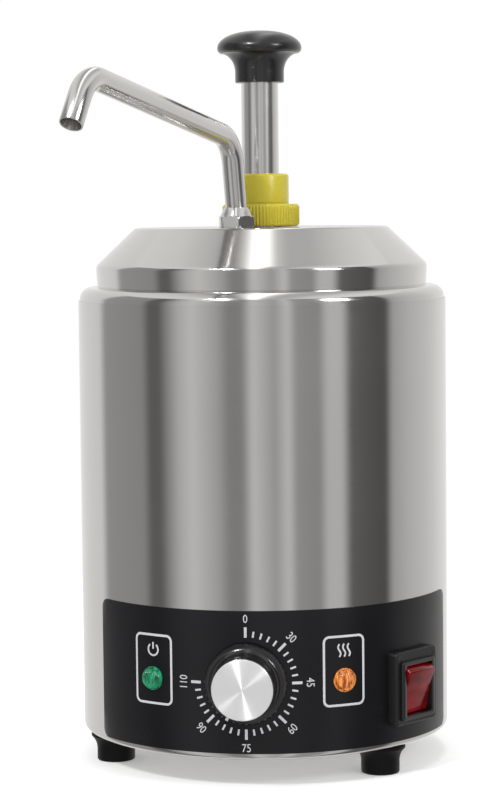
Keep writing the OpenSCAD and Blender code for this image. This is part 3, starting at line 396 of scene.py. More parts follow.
RUBBER = plastic("foot_rubber", (0.0035, 0.0032, 0.0034), 0.5, grain=700, depth=0.3, Specular_IOR_Level=0.18)
PHENOLIC = plastic("glossy_phenolic", (0.006, 0.006, 0.007), 0.18, grain=260, depth=0.04, coat=0.3)
BLACK_NYLON = plastic("black_nylon", (0.007, 0.007, 0.0075), 0.36, grain=1200, depth=0.2,
                      Specular_IOR_Level=0.4)
PANEL_FILM = plastic("panel_film", (0.0045, 0.0045, 0.0062), 0.28, grain=1500, depth=0.08,
                     Specular_IOR_Level=0.32)
SATIN_BLACK = plastic("satin_black", (0.009, 0.009, 0.010), 0.27, grain=420, depth=0.10, coat=0.22)
YELLOW_NYLON = plastic("yellow_nylon", (0.54, 0.46, 0.030), 0.27, grain=500, depth=0.06, spread=0.12,
                       Subsurface_Weight=0.2, Subsurface_Scale=0.003)
WHITE_NYLON = plastic("white_nylon", (0.72, 0.71, 0.68), 0.45, spread=0.15)
WHITE_INK = plastic("white_ink", (0.50, 0.50, 0.52), 0.45, grain=2500, depth=0.1, spread=0.25)
# Lamp lenses and the rocker glow from their bulbs, with painted highlights in bright flecks of colour and
# glow
GREEN_GLASS = lamp_plastic("green_lens", (0.001, 0.035, 0.016), (0.006, 0.22, 0.10), (0.004, 0.42, 0.17),
                           0.26)
AMBER_GLASS = lamp_plastic("amber_lens", (0.16, 0.03, 0.005), (0.72, 0.25, 0.05), (1.0, 0.32, 0.06), 0.30)
RED_GLASS = lamp_plastic("red_rocker", (0.035, 0.0005, 0.001), (0.10, 0.001, 0.003), (0.8, 0.006, 0.012),
                         0.13, sparkle_fineness=(45, 45, 60), shine=0.25)


def spun_aluminium():
    """The dial's turned face: rings cut by the tool as bump, and a highlight stretched across them."""
    material, tree, bsdf = shader("spun_aluminium", (0.9, 0.9, 0.91), 0.7, 0.44, Anisotropic=1.0)
    tangent = tree.nodes.new("ShaderNodeTangent")
    tangent.direction_type = "RADIAL"
    tangent.axis = "Y"
    bsdf.inputs["Anisotropic Rotation"].default_value = 0.25
    connect(tree, (tangent.outputs[0], bsdf.inputs["Tangent"]))
    where = tree.nodes.new("ShaderNodeTexCoord").outputs["Object"]
    mapping = tree.nodes.new("ShaderNodeMapping")
    mapping.inputs["Location"].default_value = (0, 0, -CONTROL_Z * MM)
    mapping.inputs["Scale"].default_value = (1, 0, 1)
    far = tree.nodes.new("ShaderNodeVectorMath")
    far.operation = "LENGTH"
    connect(tree, (where, mapping.inputs["Vector"]), (mapping.outputs["Vector"], far.inputs[0]))
    rings = tree.nodes.new("ShaderNodeTexNoise")
    rings.noise_dimensions = "1D"
    rings.inputs["Scale"].default_value = 5200.0
    rings.inputs["Detail"].default_value = 1.0
    connect(tree, (far.outputs["Value"], rings.inputs["W"]))
    bump(tree, bsdf, rings.outputs["Fac"], 0.15, 0.00002)
    tint(tree, bsdf, rings.outputs["Fac"], (0.88, 0.88, 0.89), (0.96, 0.96, 0.97))
    return material


SPUN = spun_aluminium()


# Body


def shell_wave(a):
    """Slow out-of-round of rolled sheet, and the low bead of the weld at the back."""
    wave = 0.035 * np.sin(3 * a + 0.7) + 0.025 * np.sin(7 * a + 2.1) + 0.012 * np.sin(13 * a)
    return wave + 0.10 * np.exp(-(((a - np.pi / 2) / 0.006) ** 2))


seam_turns = np.pi / 2 + np.linspace(-0.02, 0.02, 13)
shell_turns = np.sort(np.concatenate([np.linspace(0, 2 * np.pi, 360, endpoint=False), seam_turns + 1e-5]))
shell_profile = sheet_loop([(93, 16.5), (BODY_R, 16.5), (BODY_R, 261.7)], [3], 0.8)
surface("shell", turned(shell_profile, shell_turns, wobble=shell_wave), "base", SHELL_STEEL,
        "stainless_brushed", ["outer_shell"], loop=True)

well_profile = sheet_loop([(0, 84), (85, 84), (85, RIM_Z), (104.1, RIM_Z), (104.1, 249.7)],
                          [8, 3, 6.5], -1.0, 10)
surface("well_and_rim", turned(well_profile, segments=320), "base", PRESSED_STEEL,
        "stainless_polished", ["heating_well"], loop=True)

bowl_profile = sheet_loop([(0, 102), (80, 102), (80, 270), (92.4, 270)], [12, 3], -1.0, 10)
surface("bowl", turned(bowl_profile, segments=320), "bowl", PAN_STEEL, "stainless_brushed", ["food_bowl"],
        loop=True)

lid_profile = sheet_loop([(93.9, RIM_Z), (94.6, 281), (72, LID_Z), (17.3, LID_Z)], [4, 4], 1.0, 10)
surface("lid_pressing", turned(lid_profile, segments=320), "lid_and_pump", PRESSED_STEEL,
        "stainless_polished", ["lid"], loop=True)


def foot(name, node, angle):
    """Bell foot turned from its section, with the stepped recess for its screw."""
    base, top, tall = 10.75, 14.0, 15.7
    t = np.linspace(0, 1, 14)
    bell = np.stack([base + (top - base) * t ** 2.4, tall * (0.4 + 0.5 * t)], 1)
    profile = np.concatenate([
        [(2.1, 9), (4.2, 9), (4.2, 6), (4.5, 6), (4.5, 0.3), (4.8, 0), (base - 1, 0), (base - 0.5, 0.14),
         (base - 0.14, 0.5), (base, 1)], bell, [(top, tall - 0.3), (top - 0.3, tall), (2.1, tall)]])
    a = math.radians(angle)
    grid = turned(profile, segments=72) + np.array([89 * math.sin(a), -89 * math.cos(a), 0])
    surface(name, grid, "base", RUBBER, "black_rubber", [node], loop=True)


foot("right_foot", "foot_front_right", FOOT_ANGLE)
foot("left_foot", "foot_front_left", FOOT_ANGLE - 120)
foot("back_foot", "foot_rear", FOOT_ANGLE + 120)


def low_screws():
    """Three cover screws with low oval heads: a shallow dome less a crossed slot, on a plain shank."""
    head, seat, shank, top, count = 3.6, 15.68, 1.75, 22.4, 96
    r = np.array([0, 0.4, 0.6, 1.0, 1.5, 1.8, 2.0, 2.6, 3.2, head])[:, None]
    a = np.linspace(0, 2 * np.pi, count, endpoint=False)[None, :]
    x, y = np.abs(r * np.cos(a)), np.abs(r * np.sin(a))
    slot = np.clip((2.0 - np.maximum(x, y)) / 0.2, 0, 1) * np.clip((0.6 - np.minimum(x, y)) / 0.2, 0, 1)
    dome = seat - 0.06 - 0.5 * (1 - (r / head) ** 2)
    crown = np.stack([r * np.cos(a), r * np.sin(a), dome + 0.4 * slot], -1)
    back = turned([(head, seat), (shank, seat), (shank, top - 0.6), (shank - 0.6, top), (0, top)],
                  segments=count)
    grid = np.concatenate([crown, back])
    rows = len(grid)
    i, j = np.meshgrid(np.arange(rows - 1), np.arange(count), indexing="ij")
    row, over = i * count, (j + 1) % count
    quads = np.stack([row + j, row + over, row + count + over, row + count + j], -1).reshape(-1, 4)
    points, faces = [], []
    for k in range(3):
        turn = math.radians(FOOT_ANGLE + 60 + 120 * k)
        seat_at = (SCREW_CIRCLE * math.sin(turn), -SCREW_CIRCLE * math.cos(turn), 0)
        points.append(grid.reshape(-1, 3) + seat_at)
        faces.append(quads + k * rows * count)
    finish_mesh("low_screws", np.concatenate(points) * MM, np.concatenate(faces), "base", ZINC, "zinc_steel",
                ["cover_screws"], 38)


low_screws()


# Control panel and its print


def panel_sheet():
    """Rounded oblong wrapped round the shell: each column runs up the front and down the back, and the
    columns near an end are shortened by the corner arcs."""
    left, right = (math.radians(a) * PANEL_R for a in (-53.2, 78.8))
    low, high, corner = 20.0, 97.8, 5.0
    bend = corner * (1 - np.cos(np.linspace(0, np.pi / 2, 9)))
    straight = np.linspace(left + corner + 1, right - corner - 1, 90)
    s = np.concatenate([left + bend, straight, (right - bend)[::-1]])
    edge = np.minimum(s - left, right - s)
    cut = corner - np.sqrt(np.maximum(corner ** 2 - np.maximum(corner - edge, 0) ** 2, 0))
    up = np.array([0, 0.004, 0.2, 0.4, 0.6, 0.8, 0.996, 1])
    lift = np.array([-0.08, 0, 0, 0, 0, 0, 0, -0.08])
    rows = []
    for share, rise in [*zip(up, lift), *((u, -0.5) for u in up[::-1])]:
        height = low + cut + (high - low - 2 * cut) * share
        at_end = (edge < 1e-9)
        rows.append(np.stack([s, height, np.where(at_end, -0.25, rise)], 1))
    surface("panel_sheet", wrap(np.stack(rows)), "base", PANEL_FILM, "black_panel", ["control_panel"],
            around=False, loop=True)


panel_sheet()

print_points, print_faces = [], []


def even_steps(path, closed, step=1.2):
    """The path with points added so that no stretch is longer than the step."""
    ends = np.roll(path, -1, 0) if closed else path[1:]
    out = []
    for a, b in zip(path, ends):
        count = max(1, math.ceil(np.linalg.norm(b - a) / step))
        out.append(a + (b - a) * np.linspace(0, 1, count, endpoint=False)[:, None])
    return np.concatenate(out if closed else out + [path[-1:]])


def ink(path, width, closed=False):
    """Adds a printed line: the path carries a flat section of this width, 0.05 thick, round the panel."""
    path = even_steps(np.asarray(path, float), closed)
    if closed:
        before, after = np.roll(path, 1, 0), np.roll(path, -1, 0)
    else:
        before, after = np.concatenate([path[:1], path[:-1]]), np.concatenate([path[1:], path[-1:]])
    d = after - before
    d /= np.linalg.norm(d, axis=1)[:, None]
    side = np.stack([-d[:, 1], d[:, 0]], 1) * width / 2
    n = len(path)
    rows = [np.concatenate([path + side * k, np.full((n, 1), z)], 1)
            for k, z in ((-1, 0.0), (-0.96, 0.05), (0.96, 0.05), (1, 0.0))]
    first = sum(len(p) for p in print_points)
    print_points.append(wrap(np.stack(rows, 1).reshape(-1, 3)))
    for i in range(n if closed else n - 1):
        j = (i + 1) % n
        for k in range(4):
            m = (k + 1) % 4
            print_faces.append([first + i * 4 + k, first + j * 4 + k, first + j * 4 + m, first + i * 4 + m])
    if not closed:
        print_faces.append([first + k for k in range(4)])
        print_faces.append([first + (n - 1) * 4 + k for k in (3, 2, 1, 0)])


def ray(clock, near, far, width):
    """A tick on the dial's scale, from near to far out, at this clock angle."""
    a = math.radians(clock)
    t = np.linspace(near, far, 3)
    ink(np.stack([t * math.sin(a), CONTROL_Z + t * math.cos(a)], 1), width)


def arc(x, z, r, start, stop, width, count=28):
    """Part of a circle, from one clock angle to another."""
    a = np.radians(np.linspace(start, stop, count))
    ink(np.stack([x + r * np.sin(a), z + r * np.cos(a)], 1), width)


for step in range(31):
    clock = 9 * step
    if step % 5:
        ray(clock, 25.3, 28.6, 1.05)
    else:
        ray(clock, 25.0, 30.6, 1.5)
for side in (-1, 1):
    x = side * math.radians(LAMP_ANGLE) * PANEL_R
    ink(box_outline(23.6, 37.6, 3.0, 6, (x, 63.5)), 1.3, closed=True)
power_x = -math.radians(LAMP_ANGLE) * PANEL_R
arc(power_x, 74.3, 3.3, 38, 322, 1.0)
ink([(power_x, 74.6), (power_x, 76.4), (power_x, 78.3)], 1.0)
heat_x = -power_x
for k in (-1, 0, 1):
    t = np.linspace(0, 1, 16)
    ink(np.stack([heat_x + 2.8 * k + 0.75 * np.sin(2 * np.pi * t), 71.2 + 7.0 * t], 1), 0.95)


def numeral(text, clock, size):
    """A number on the dial's scale, its top outwards above the middle and inwards below it."""
    a = math.radians(clock)
    x, z = NUMERAL_R * math.sin(a), CONTROL_Z + NUMERAL_R * math.cos(a)
    if math.cos(a) < -0.1:
        a += math.pi
    curve = bpy.data.curves.new("numeral", "FONT")
    curve.body = text
    curve.size = size
    curve.align_x = "CENTER"
    curve.align_y = "CENTER"
    curve.resolution_u = 4
    holder = bpy.data.objects.new("numeral", curve)
    mesh = holder.to_mesh()
    flat = np.zeros(len(mesh.vertices) * 3)
    mesh.vertices.foreach_get("co", flat)
    flat = flat.reshape(-1, 3)[:, :2] * (0.82, 1.0)
    flat -= (flat.max(0) + flat.min(0)) / 2
    flat = flat @ np.array([[math.cos(a), -math.sin(a)], [math.sin(a), math.cos(a)]]) + (x, z)
    faces = [list(p.vertices) for p in mesh.polygons]
    directed = {(a, b) for face in faces for a, b in zip(face, face[1:] + face[:1])}
    rim = [(a, b) for a, b in directed if (b, a) not in directed]
    n = len(flat)
    first = sum(len(p) for p in print_points)
    front = np.concatenate([flat, np.full((n, 1), 0.05)], 1)
    back = np.concatenate([flat, np.zeros((n, 1))], 1)
    print_points.append(wrap(np.concatenate([front, back])))
    for face in faces:
        print_faces.append([first + v for v in face])
        print_faces.append([first + n + v for v in reversed(face)])
    for a, b in rim:
        print_faces.append([first + b, first + a, first + n + a, first + n + b])
    holder.to_mesh_clear()
    bpy.data.objects.remove(holder)
    bpy.data.curves.remove(curve)


for k, text in enumerate(("0", "30", "45", "60", "75", "90", "110")):
    numeral(text, 45 * k, 6.4)


def printed_piece(name):
    """All the print in one mesh of polygons of any size."""
    mesh = bpy.data.meshes.new(name)
    mesh.from_pydata((np.concatenate(print_points) * MM).tolist(), [], print_faces)
    work = bmesh.new()
    work.from_mesh(mesh)
    bmesh.ops.remove_doubles(work, verts=work.verts, dist=1e-7)
    bmesh.ops.triangulate(work, faces=work.faces)
    bmesh.ops.recalc_face_normals(work, faces=work.faces)
    work.to_mesh(mesh)
    work.free()
    mesh.materials.append(WHITE_INK)
    piece = bpy.data.objects.new(name, mesh)
    bpy.context.scene.collection.objects.link(piece)
    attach(piece, "base")


printed_piece("panel_print")


# Lamps


def lens(name, node, angle, material, slot):
    """Domed lens with upright ribs: height is a flange, then an ellipse, less a cosine of the width."""
    turns = np.linspace(0, 2 * np.pi, 144, endpoint=False)
    rise = np.linspace(0, np.pi / 2, 26)
    radius = np.concatenate([[0, 6.5, 6.5, 6.35], 5.9 * np.cos(rise)])
    level = np.concatenate([[0, 0, 1.0, 1.2], 1.25 + 4.55 * np.sin(rise)])
    x = radius[:, None] * np.cos(turns)
    y = radius[:, None] * np.sin(turns)
    dome = along(level, 1.3, 2.6)[:, None]
    z = level[:, None] - dome * 0.22 * (1 + np.cos(2 * np.pi * x / 1.25))
    lens = place(np.stack([x, y, z], -1), angle, CONTROL_Z, PANEL_R + 0.1)
    surface(name, lens, "base", material, slot, [node], sharp=60)


lens("green_lamp", "power_lamp_lens", -LAMP_ANGLE, GREEN_GLASS, "green_lens")
lens("amber_lamp", "heating_lamp_lens", LAMP_ANGLE, AMBER_GLASS, "amber_lens")


# Switch


def switch_block():
    """Raised block with an opening for the switch: its back edges lie on the panel's curve, its front is flat
    with eased edges."""
    outline = box_outline(36.7, 40.9, 2.5, 10, (0, 1.4))
    opening = box_outline(26.0, 30.4, 0.8, 10)

    def on_panel(edge):
        return np.concatenate([edge, PANEL_R * np.cos(np.arcsin(edge[:, :1] / PANEL_R)) + 0.03], 1)

    front = [(ease(outline, draw), z) for draw, z in ((0, 108.6), (0.08, 109.0), (0.3, 109.35), (0.7, 109.52),
                                                      (1.2, 109.55))]
    rows = [on_panel(outline), *stack(front), *stack([(ease(opening, -0.1), 109.55), (opening, 109.45)]),
            on_panel(opening)]
    surface("switch_block", place(np.stack(rows), SWITCH_ANGLE, SWITCH_Z), "base", BLACK_NYLON,
            "black_plastic", ["switch_plinth"], loop=True)


def switch_frame():
    """Switch housing: the back, the sides, the bezel with eased edges, then down the inside of the well."""
    body = box_outline(25.6, 30.0, 0.8, 6)
    bezel = box_outline(29.0, 32.6, 1.5, 6)
    well = box_outline(22.6, 27.8, 0.6, 6)
    point = body * 0
    rows = [(point, 85.6), (body, 85.6), (body, 109.6), (bezel, 109.6), (bezel, 111.1),
            (ease(bezel, 0.15), 111.4), (ease(bezel, 0.5), 111.55), (ease(well, -0.5), 111.55),
            (ease(well, -0.12), 111.4), (well, 111.1), (well, 91.9), (point, 91.9)]
    surface("switch_frame", place(stack(rows), SWITCH_ANGLE, SWITCH_Z), "base", PHENOLIC, "black_plastic",
            ["switch_housing"])


def rocker_piece():
    """Rocker: two flat faces in a shallow vee on a round back, carried across its width, with eased ends."""
    corners = [(-13.2, 0), (-13.3, 1.95), (0, 4.5), (10.5, 8.1), (12.4, 5.6), (13.6, 0.5), (13.2, -3.3),
               (12.1, -6), (-12.1, -6), (-13.3, -2.8), (-13.2, 0)]
    profile = rounded(corners, [0.7, 3.0, 1.1, 1.5, 4, 3, 0.8, 0.8, 3], 6)[:-1]
    middle = np.array([0, 0.5])
    rows = []
    for x, draw in ((-11, 1), (-11, 0.07), (-10.75, 0.025), (-10.3, 0), (0, 0), (10.3, 0), (10.75, 0.025),
                    (11, 0.07), (11, 1)):
        line = middle + (profile - middle) * (1 - draw)
        rows.append(np.stack([np.full(len(line), x), line[:, 0], line[:, 1]], 1))
    surface("rocker_piece", place(np.stack(rows), SWITCH_ANGLE, SWITCH_Z, 106.05), "switch_rocker", RED_GLASS,
            "red_lens", ["rocker"])


switch_block()
switch_frame()
rocker_piece()


# Thermostat knob


def dial():
    """Turned knob: flared skirt, waist and straight grip, hollow behind, and its spun face."""
    skirt, grip, top = 22.2, 17.1, 18.1
    t = np.radians(np.linspace(0, 90, 14))
    flare = np.stack([grip + (skirt - 0.8 - grip) * (1 - np.sin(t)), 3.6 + 4.6 * (1 - np.cos(t))], 1)
    hub = [(3.06, 5.8), (6, 5.8), (6, 16.1), (15.1, 16.1), (15.1, 1.4)]
    edge = [(skirt - 0.6, 1.4), (skirt - 0.1, 1.65), (skirt, 2.1), (skirt - 0.3, 2.8)]
    crown = [(grip - 0.1, top - 1.2), (grip - 0.2, top - 0.5), (grip - 0.5, top - 0.15), (grip - 0.9, top),
             (0, top)]
    profile = np.concatenate([hub, edge, flare, crown])
    ring = turned(profile, segments=144)
    surface("dial_body", place(ring, 0, CONTROL_Z, PANEL_R), "dial", PHENOLIC, "black_gloss_plastic",
            ["dial_knob"])
    face = np.array([(0, 18.2), (16.5, 18.2), (16.5, 18.9), (16.3, 19.15), (15.9, 19.3), (15.2, 19.38),
                     (8, 19.40), (0, 19.42)])
    surface("dial_face", place(turned(face, segments=144), 0, CONTROL_Z, PANEL_R), "dial", SPUN, "aluminium",
            ["dial_cap"])
    a = math.radians(DIAL_REST)
    direction, across = np.array([math.sin(a), math.cos(a)]), np.array([math.cos(a), -math.sin(a)])
    far = np.linspace(17.4, 22.1, 11)
    level = np.interp(far, flare[::-1, 0], flare[::-1, 1]) + 0.3
    rows = []
    for k, drop in ((-0.85, 0.6), (-0.75, 0), (0.75, 0), (0.85, 0.6)):
        rows.append(np.concatenate([far[:, None] * direction + k * across, (level - drop)[:, None]], 1))
    surface("dial_mark", place(np.stack(rows), 0, CONTROL_Z, PANEL_R), "dial", WHITE_INK, "white_plastic",
            ["dial_pointer"], around=False, loop=True)


dial()


# Pump above the lid


def lock_ring():
    """Knurled collar: the outer radius drops by a rounded tooth 72 times round, less at the chamfers."""
    count, depth, per_tooth = 72, 0.6, 10
    a = np.linspace(0, 2 * np.pi, count * per_tooth, endpoint=False)
    tooth = depth * np.abs(np.sin(count * a / 2)) ** 1.6
    outer = [(20.5, 302.8, 0), (21.3, 303.4, 0.2), (21.75, 303.9, 0.7), (22, 304.4, 1), (22, 309, 1),
             (22, 313.8, 1), (21.75, 314.4, 0.7), (21.3, 315.0, 0.2), (20.7, 315.5, 0)]
    inner = [(16.6, 315.5, 0), (16.06, 315.2, 0), (16.06, 313.6, 0), (17.06, 313.6, 0), (17.06, 302.8, 0)]
    rows = [np.stack([(r - k * tooth) * np.cos(a), (r - k * tooth) * np.sin(a), 0 * a + z], 1)
            for r, z, k in outer + inner]
    surface("knurled_collar", np.stack(rows), "collar", YELLOW_NYLON, "yellow_plastic", ["lock_collar"],
            loop=True, sharp=50)


lock_ring()
guide_profile = [(10.56, 303.5), (12.95, 303.5), (12.95, 311.5), (16.8, 311.5), (16.8, 313.5), (16, 313.5),
                 (16, 316), (15.8, 316.2), (16, 316.4), (16, 331.2), (15.8, 331.8), (14.9, 332.6),
                 (14.5, 332.7), (11.2, 332.7), (10.7, 332.4), (10.56, 332)]
surface("guide_sleeve", turned(guide_profile, segments=144), "lid_and_pump", YELLOW_NYLON, "yellow_plastic",
        ["plunger_guide"], loop=True)
tube_profile = [(10.5, 197.5), (10.5, 300), (10.5, 396.2), (9.3, 396.2), (9.3, 197.5)]
surface("plunger_stem", turned(tube_profile, segments=144), "plunger", STEM_STEEL, "stainless_polished",
        ["plunger_tube"], loop=True)


def coil():
    """Return spring: a circle of the wire's radius carried along a helix whose rise flattens over the first
    and last turn, cut level at both ends."""
    mean, wire, turns, low, high, stroke = 9.5, 0.8, 9, 111.25, 177.15, 45.0
    even_rise, shortest_gap = 0.9, 0.1
    u = np.linspace(0, 1, turns * 48 + 1)
    share = np.clip((u * turns - 0.75) / (turns - 1.5), 0, 1)
    climb = high - low - 2 * wire - even_rise
    height = low + wire + even_rise * u + climb * (0.35 * along(share, 0, 1) + 0.65 * share)
    t = 2 * np.pi * turns * u[:, None]
    b = np.linspace(0, 2 * np.pi, 16, endpoint=False)[None, :]
    r = mean + wire * np.cos(b)
    z = np.clip(height[:, None] + wire * np.sin(b), low + 0.02, high - 0.02)
    grid = np.stack([r * np.cos(t), r * np.sin(t), z], -1)
    ends = [np.broadcast_to(row.mean(0), row.shape)[None] for row in (grid[0], grid[-1])]
    piece = surface("coil", np.concatenate([ends[0], grid, ends[1]]), "lid_and_pump", BRIGHT_STEEL,
                    "stainless_polished", ["return_spring"])
    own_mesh(piece)


def push_knob():
    """Mushroom knob: neck, concave flare on a quarter ellipse, rounded lip and a low dome that narrows as
    the cosine to the power 0.85."""
    low, neck, wide, lip_z, top_z = 384.3, 13.9, 24.0, 403.9, 413.7
    t = np.radians(np.linspace(0, 88, 24))
    flare = np.stack([neck + 8.9 * (1 - np.cos(t)), 390.2 + 10.9 * np.sin(t)], 1)
    e = np.radians(np.linspace(-80, -6, 12))
    lip = np.stack([wide - 1.7 + 1.7 * np.cos(e), lip_z + 2.6 * np.sin(e)], 1)
    d = np.radians(np.linspace(0, 90, 40))
    dome = np.stack([wide * np.cos(d) ** 0.85, lip_z + (top_z - lip_z) * np.sin(d)], 1)
    dome[-1, 0] = 0
    profile = np.concatenate([[(0, 396.4), (10.6, 396.4), (10.6, 384.6), (10.9, low), (neck - 0.6, low),
                               (neck - 0.15, 384.5), (neck, 384.9)], flare, lip, dome])
    surface("push_knob", turned(profile, segments=160), "plunger", SATIN_BLACK, "black_gloss_plastic",
            ["plunger_knob"])


push_knob()
coil()


# Spout


def spout_plane(points):
    """Distance from the pump's axis, height and sideways length, turned to the spout's own plane."""
    a = math.radians(SPOUT_ANGLE)
    outward = np.array([math.sin(a), -math.cos(a), 0])
    sideways = np.array([math.cos(a), math.sin(a), 0])
    points = np.asarray(points, float)
    return points[..., :1] * outward + points[..., 1:2] * np.array([0, 0, 1.0]) + points[..., 2:] * sideways


def spout():
    """A circle carried along the bent route: point = path + r (cos b * normal + sin b * sideways); the bends
    are drawn in a little across the plane of the bend, as a bent tube is."""
    runs, turns, bend = (8.36, 23.42, 142.8, 17.26), (9.4, 71.0, 65.8), 20.0
    here, heading = np.array([SPOUT_OUT, 303.3]), math.pi / 2
    path, normals, squeeze = [here], [heading], [0.0]
    for k, run in enumerate(runs):
        here = here + run * np.array([math.cos(heading), math.sin(heading)])
        if k == 2:
            path.append(here - 0.5 * run * np.array([math.cos(heading), math.sin(heading)]))
            normals.append(heading)
            squeeze.append(0.0)
        path.append(here)
        normals.append(heading)
        squeeze.append(0.0)
        if k < 3:
            whole = math.radians(turns[k])
            middle = here + bend * np.array([math.sin(heading), -math.cos(heading)])
            steps = max(6, int(turns[k] / 3))
            for i in range(1, steps + 1):
                a = heading - whole * i / steps
                path.append(middle + bend * np.array([-math.sin(a), math.cos(a)]))
                normals.append(a)
                squeeze.append(math.sin(math.pi * i / steps) * min(1, turns[k] / 60))
            here, heading = path[-1], heading - whole
    path, angle, squeeze = np.array(path), np.array(normals), np.array(squeeze)
    side = np.stack([-np.sin(angle), np.cos(angle)], 1)
    b = np.linspace(0, 2 * np.pi, 64, endpoint=False)

    def tube(r, rows):
        flat = r * (1 - 0.045 * squeeze[rows])[:, None] * np.cos(b)
        wide = r * (1 + 0.02 * squeeze[rows])[:, None] * np.sin(b)
        in_plane = path[rows][:, None, :] + flat[..., None] * side[rows][:, None, :]
        return np.concatenate([in_plane, wide[..., None]], -1)

    every = np.arange(len(path))
    end = tube(5.7, every[-1:])
    ahead = np.array([math.cos(heading), math.sin(heading)])
    outer, inner = tube(6.1, every), tube(5.3, every[::-1])
    lip_out, lip_in = tube(6.0, every[-1:]), tube(5.4, every[-1:])
    outer[-1, :, :2] -= 0.25 * ahead
    inner[0, :, :2] -= 0.25 * ahead
    lip_out[..., :2] -= 0.05 * ahead
    lip_in[..., :2] -= 0.05 * ahead
    grid = np.concatenate([outer, lip_out, end, lip_in, inner])
    surface("spout", spout_plane(grid), "lid_and_pump", BRIGHT_STEEL, "stainless_polished", ["spout_tube"],
            loop=True, sharp=60)


def union_nut():
    """Spout nut: at each level the smaller of the hexagon and the chamfer cone, then the coned top."""
    a = np.linspace(0, 2 * np.pi, 180, endpoint=False)
    flats = 19
    hexagon = flats / 2 / np.cos((a % (np.pi / 3)) - np.pi / 6)
    rows = []
    for z, cone in ((302.6, 10.2), (303.2, 11.2), (307.9, 11.2), (308.5, 10.5), (309, 9.7)):
        rows.append((np.minimum(hexagon, cone), z))
    for r, z in ((9.1, 309.0), (8.5, 310.3), (7.6, 312.4), (6.9, 313.7), (6.5, 313.8), (6.2, 313.6)):
        rows.append((0 * a + r, z))
    for r, z in ((6.2, 308), (7.7, 307.9), (7.7, 302.6)):
        rows.append((0 * a + r, z))
    grid = np.stack([np.stack([SPOUT_OUT + r * np.sin(a), 0 * a + z, r * np.cos(a)], 1) for r, z in rows])
    surface("union_nut", spout_plane(grid), "lid_and_pump", BRIGHT_STEEL, "stainless_polished", ["spout_nut"],
            loop=True, sharp=25)


spout()
union_nut()


# CAD pieces that stay, each with its finish

FINISHES = {
    "stainless_brushed": PAN_STEEL, "stainless_polished": BRIGHT_STEEL, "zinc_steel": ZINC,
    "black_rubber": RUBBER, "black_panel": PANEL_FILM, "black_gloss_plastic": PHENOLIC,
    "black_plastic": BLACK_NYLON, "yellow_plastic": YELLOW_NYLON, "white_plastic": WHITE_NYLON,
    "green_lens": GREEN_GLASS, "amber_lens": AMBER_GLASS, "red_lens": RED_GLASS, "aluminium": ALUMINIUM,
    "brass": BRASS, "copper": COPPER, "heater_sheath": SHEATH,
}
for part in frame["record"]["subparts"]:
    mesh = NODES[part["node"]].data
    finish = FINISHES[part["material_slot"]]
    if mesh.materials:
        for k in range(len(mesh.materials)):
            mesh.materials[k] = finish
    else:
        mesh.materials.append(finish)


# Studio


def plain_emission(name, strength):
    material = bpy.data.materials.new(name)
    material.use_nodes = True
    tree = material.node_tree
    tree.nodes.clear()
    out = tree.nodes.new("ShaderNodeOutputMaterial")
    glow = tree.nodes.new("ShaderNodeEmission")
    glow.inputs["Strength"].default_value = strength
    connect(tree, (glow.outputs[0], out.inputs["Surface"]))
    return material, tree, glow


def stage_mesh(name, points, faces, material):
    mesh = bpy.data.meshes.new(name)
    mesh.from_pydata(points, [], faces)
    mesh.materials.append(material)
    piece = bpy.data.objects.new(name, mesh)
    bpy.context.scene.collection.objects.link(piece)
    return piece


# Grey and white boards that stand round the object, seen only in its reflections: the clock angle from the
# camera's side where each begins or ends, and how bright it is there. The levels were tuned until the bands
# of light and dark on the steel lay near those in the photo.
BOARDS = ((-180, 0.90), (-119, 0.85), (-112, 0.40), (-78, 0.35), (-72, 0.15), (-65, 0.15), (-52, 0.60),
          (-43, 0.75), (-27, 0.50), (-20, 0.30), (-12, 0.30), (-6, 0.75), (7, 0.45), (15, 0.75), (20, 0.40),
          (34, 0.35), (39, 0.65), (48, 0.65), (54, 0.15), (80, 0.10), (86, 0.50), (100, 0.65), (140, 0.90),
          (180, 0.90))
# The same overhead, by distance to the right of the axis in metres
OVERHEAD = ((-1.8, 0.95), (-0.9, 0.85), (-0.5, 0.65), (-0.36, 0.35), (-0.26, 0.40), (-0.16, 0.90),
            (-0.08, 1.90), (0.07, 1.90), (0.16, 0.80), (0.28, 0.60), (0.5, 0.60), (0.8, 0.80), (1.1, 0.95),
            (1.8, 0.95))
CAMERA_SIDE = 5.8
BOARD_R = 1.9
BOARD_TOP = 1.8
BOARD_LOW = -0.5
BOARD_SIDES = 96


def glow_ramp(tree, share, stops):
    """Brightness by stops of (place from 0 to 1, value), straight between them."""
    ramp = tree.nodes.new("ShaderNodeValToRGB")
    elements = ramp.color_ramp.elements
    for k, (place_on_ramp, value) in enumerate(stops):
        stop = elements[k] if k < 2 else elements.new(place_on_ramp)
        stop.position = place_on_ramp
        stop.color = (value, value * 0.993, value * 0.98, 1)
    connect(tree, (share, ramp.inputs["Fac"]))
    return ramp.outputs["Color"]


def reflected_only(piece):
    piece.visible_camera = False
    piece.visible_diffuse = False
    piece.visible_shadow = False
    piece.visible_transmission = False


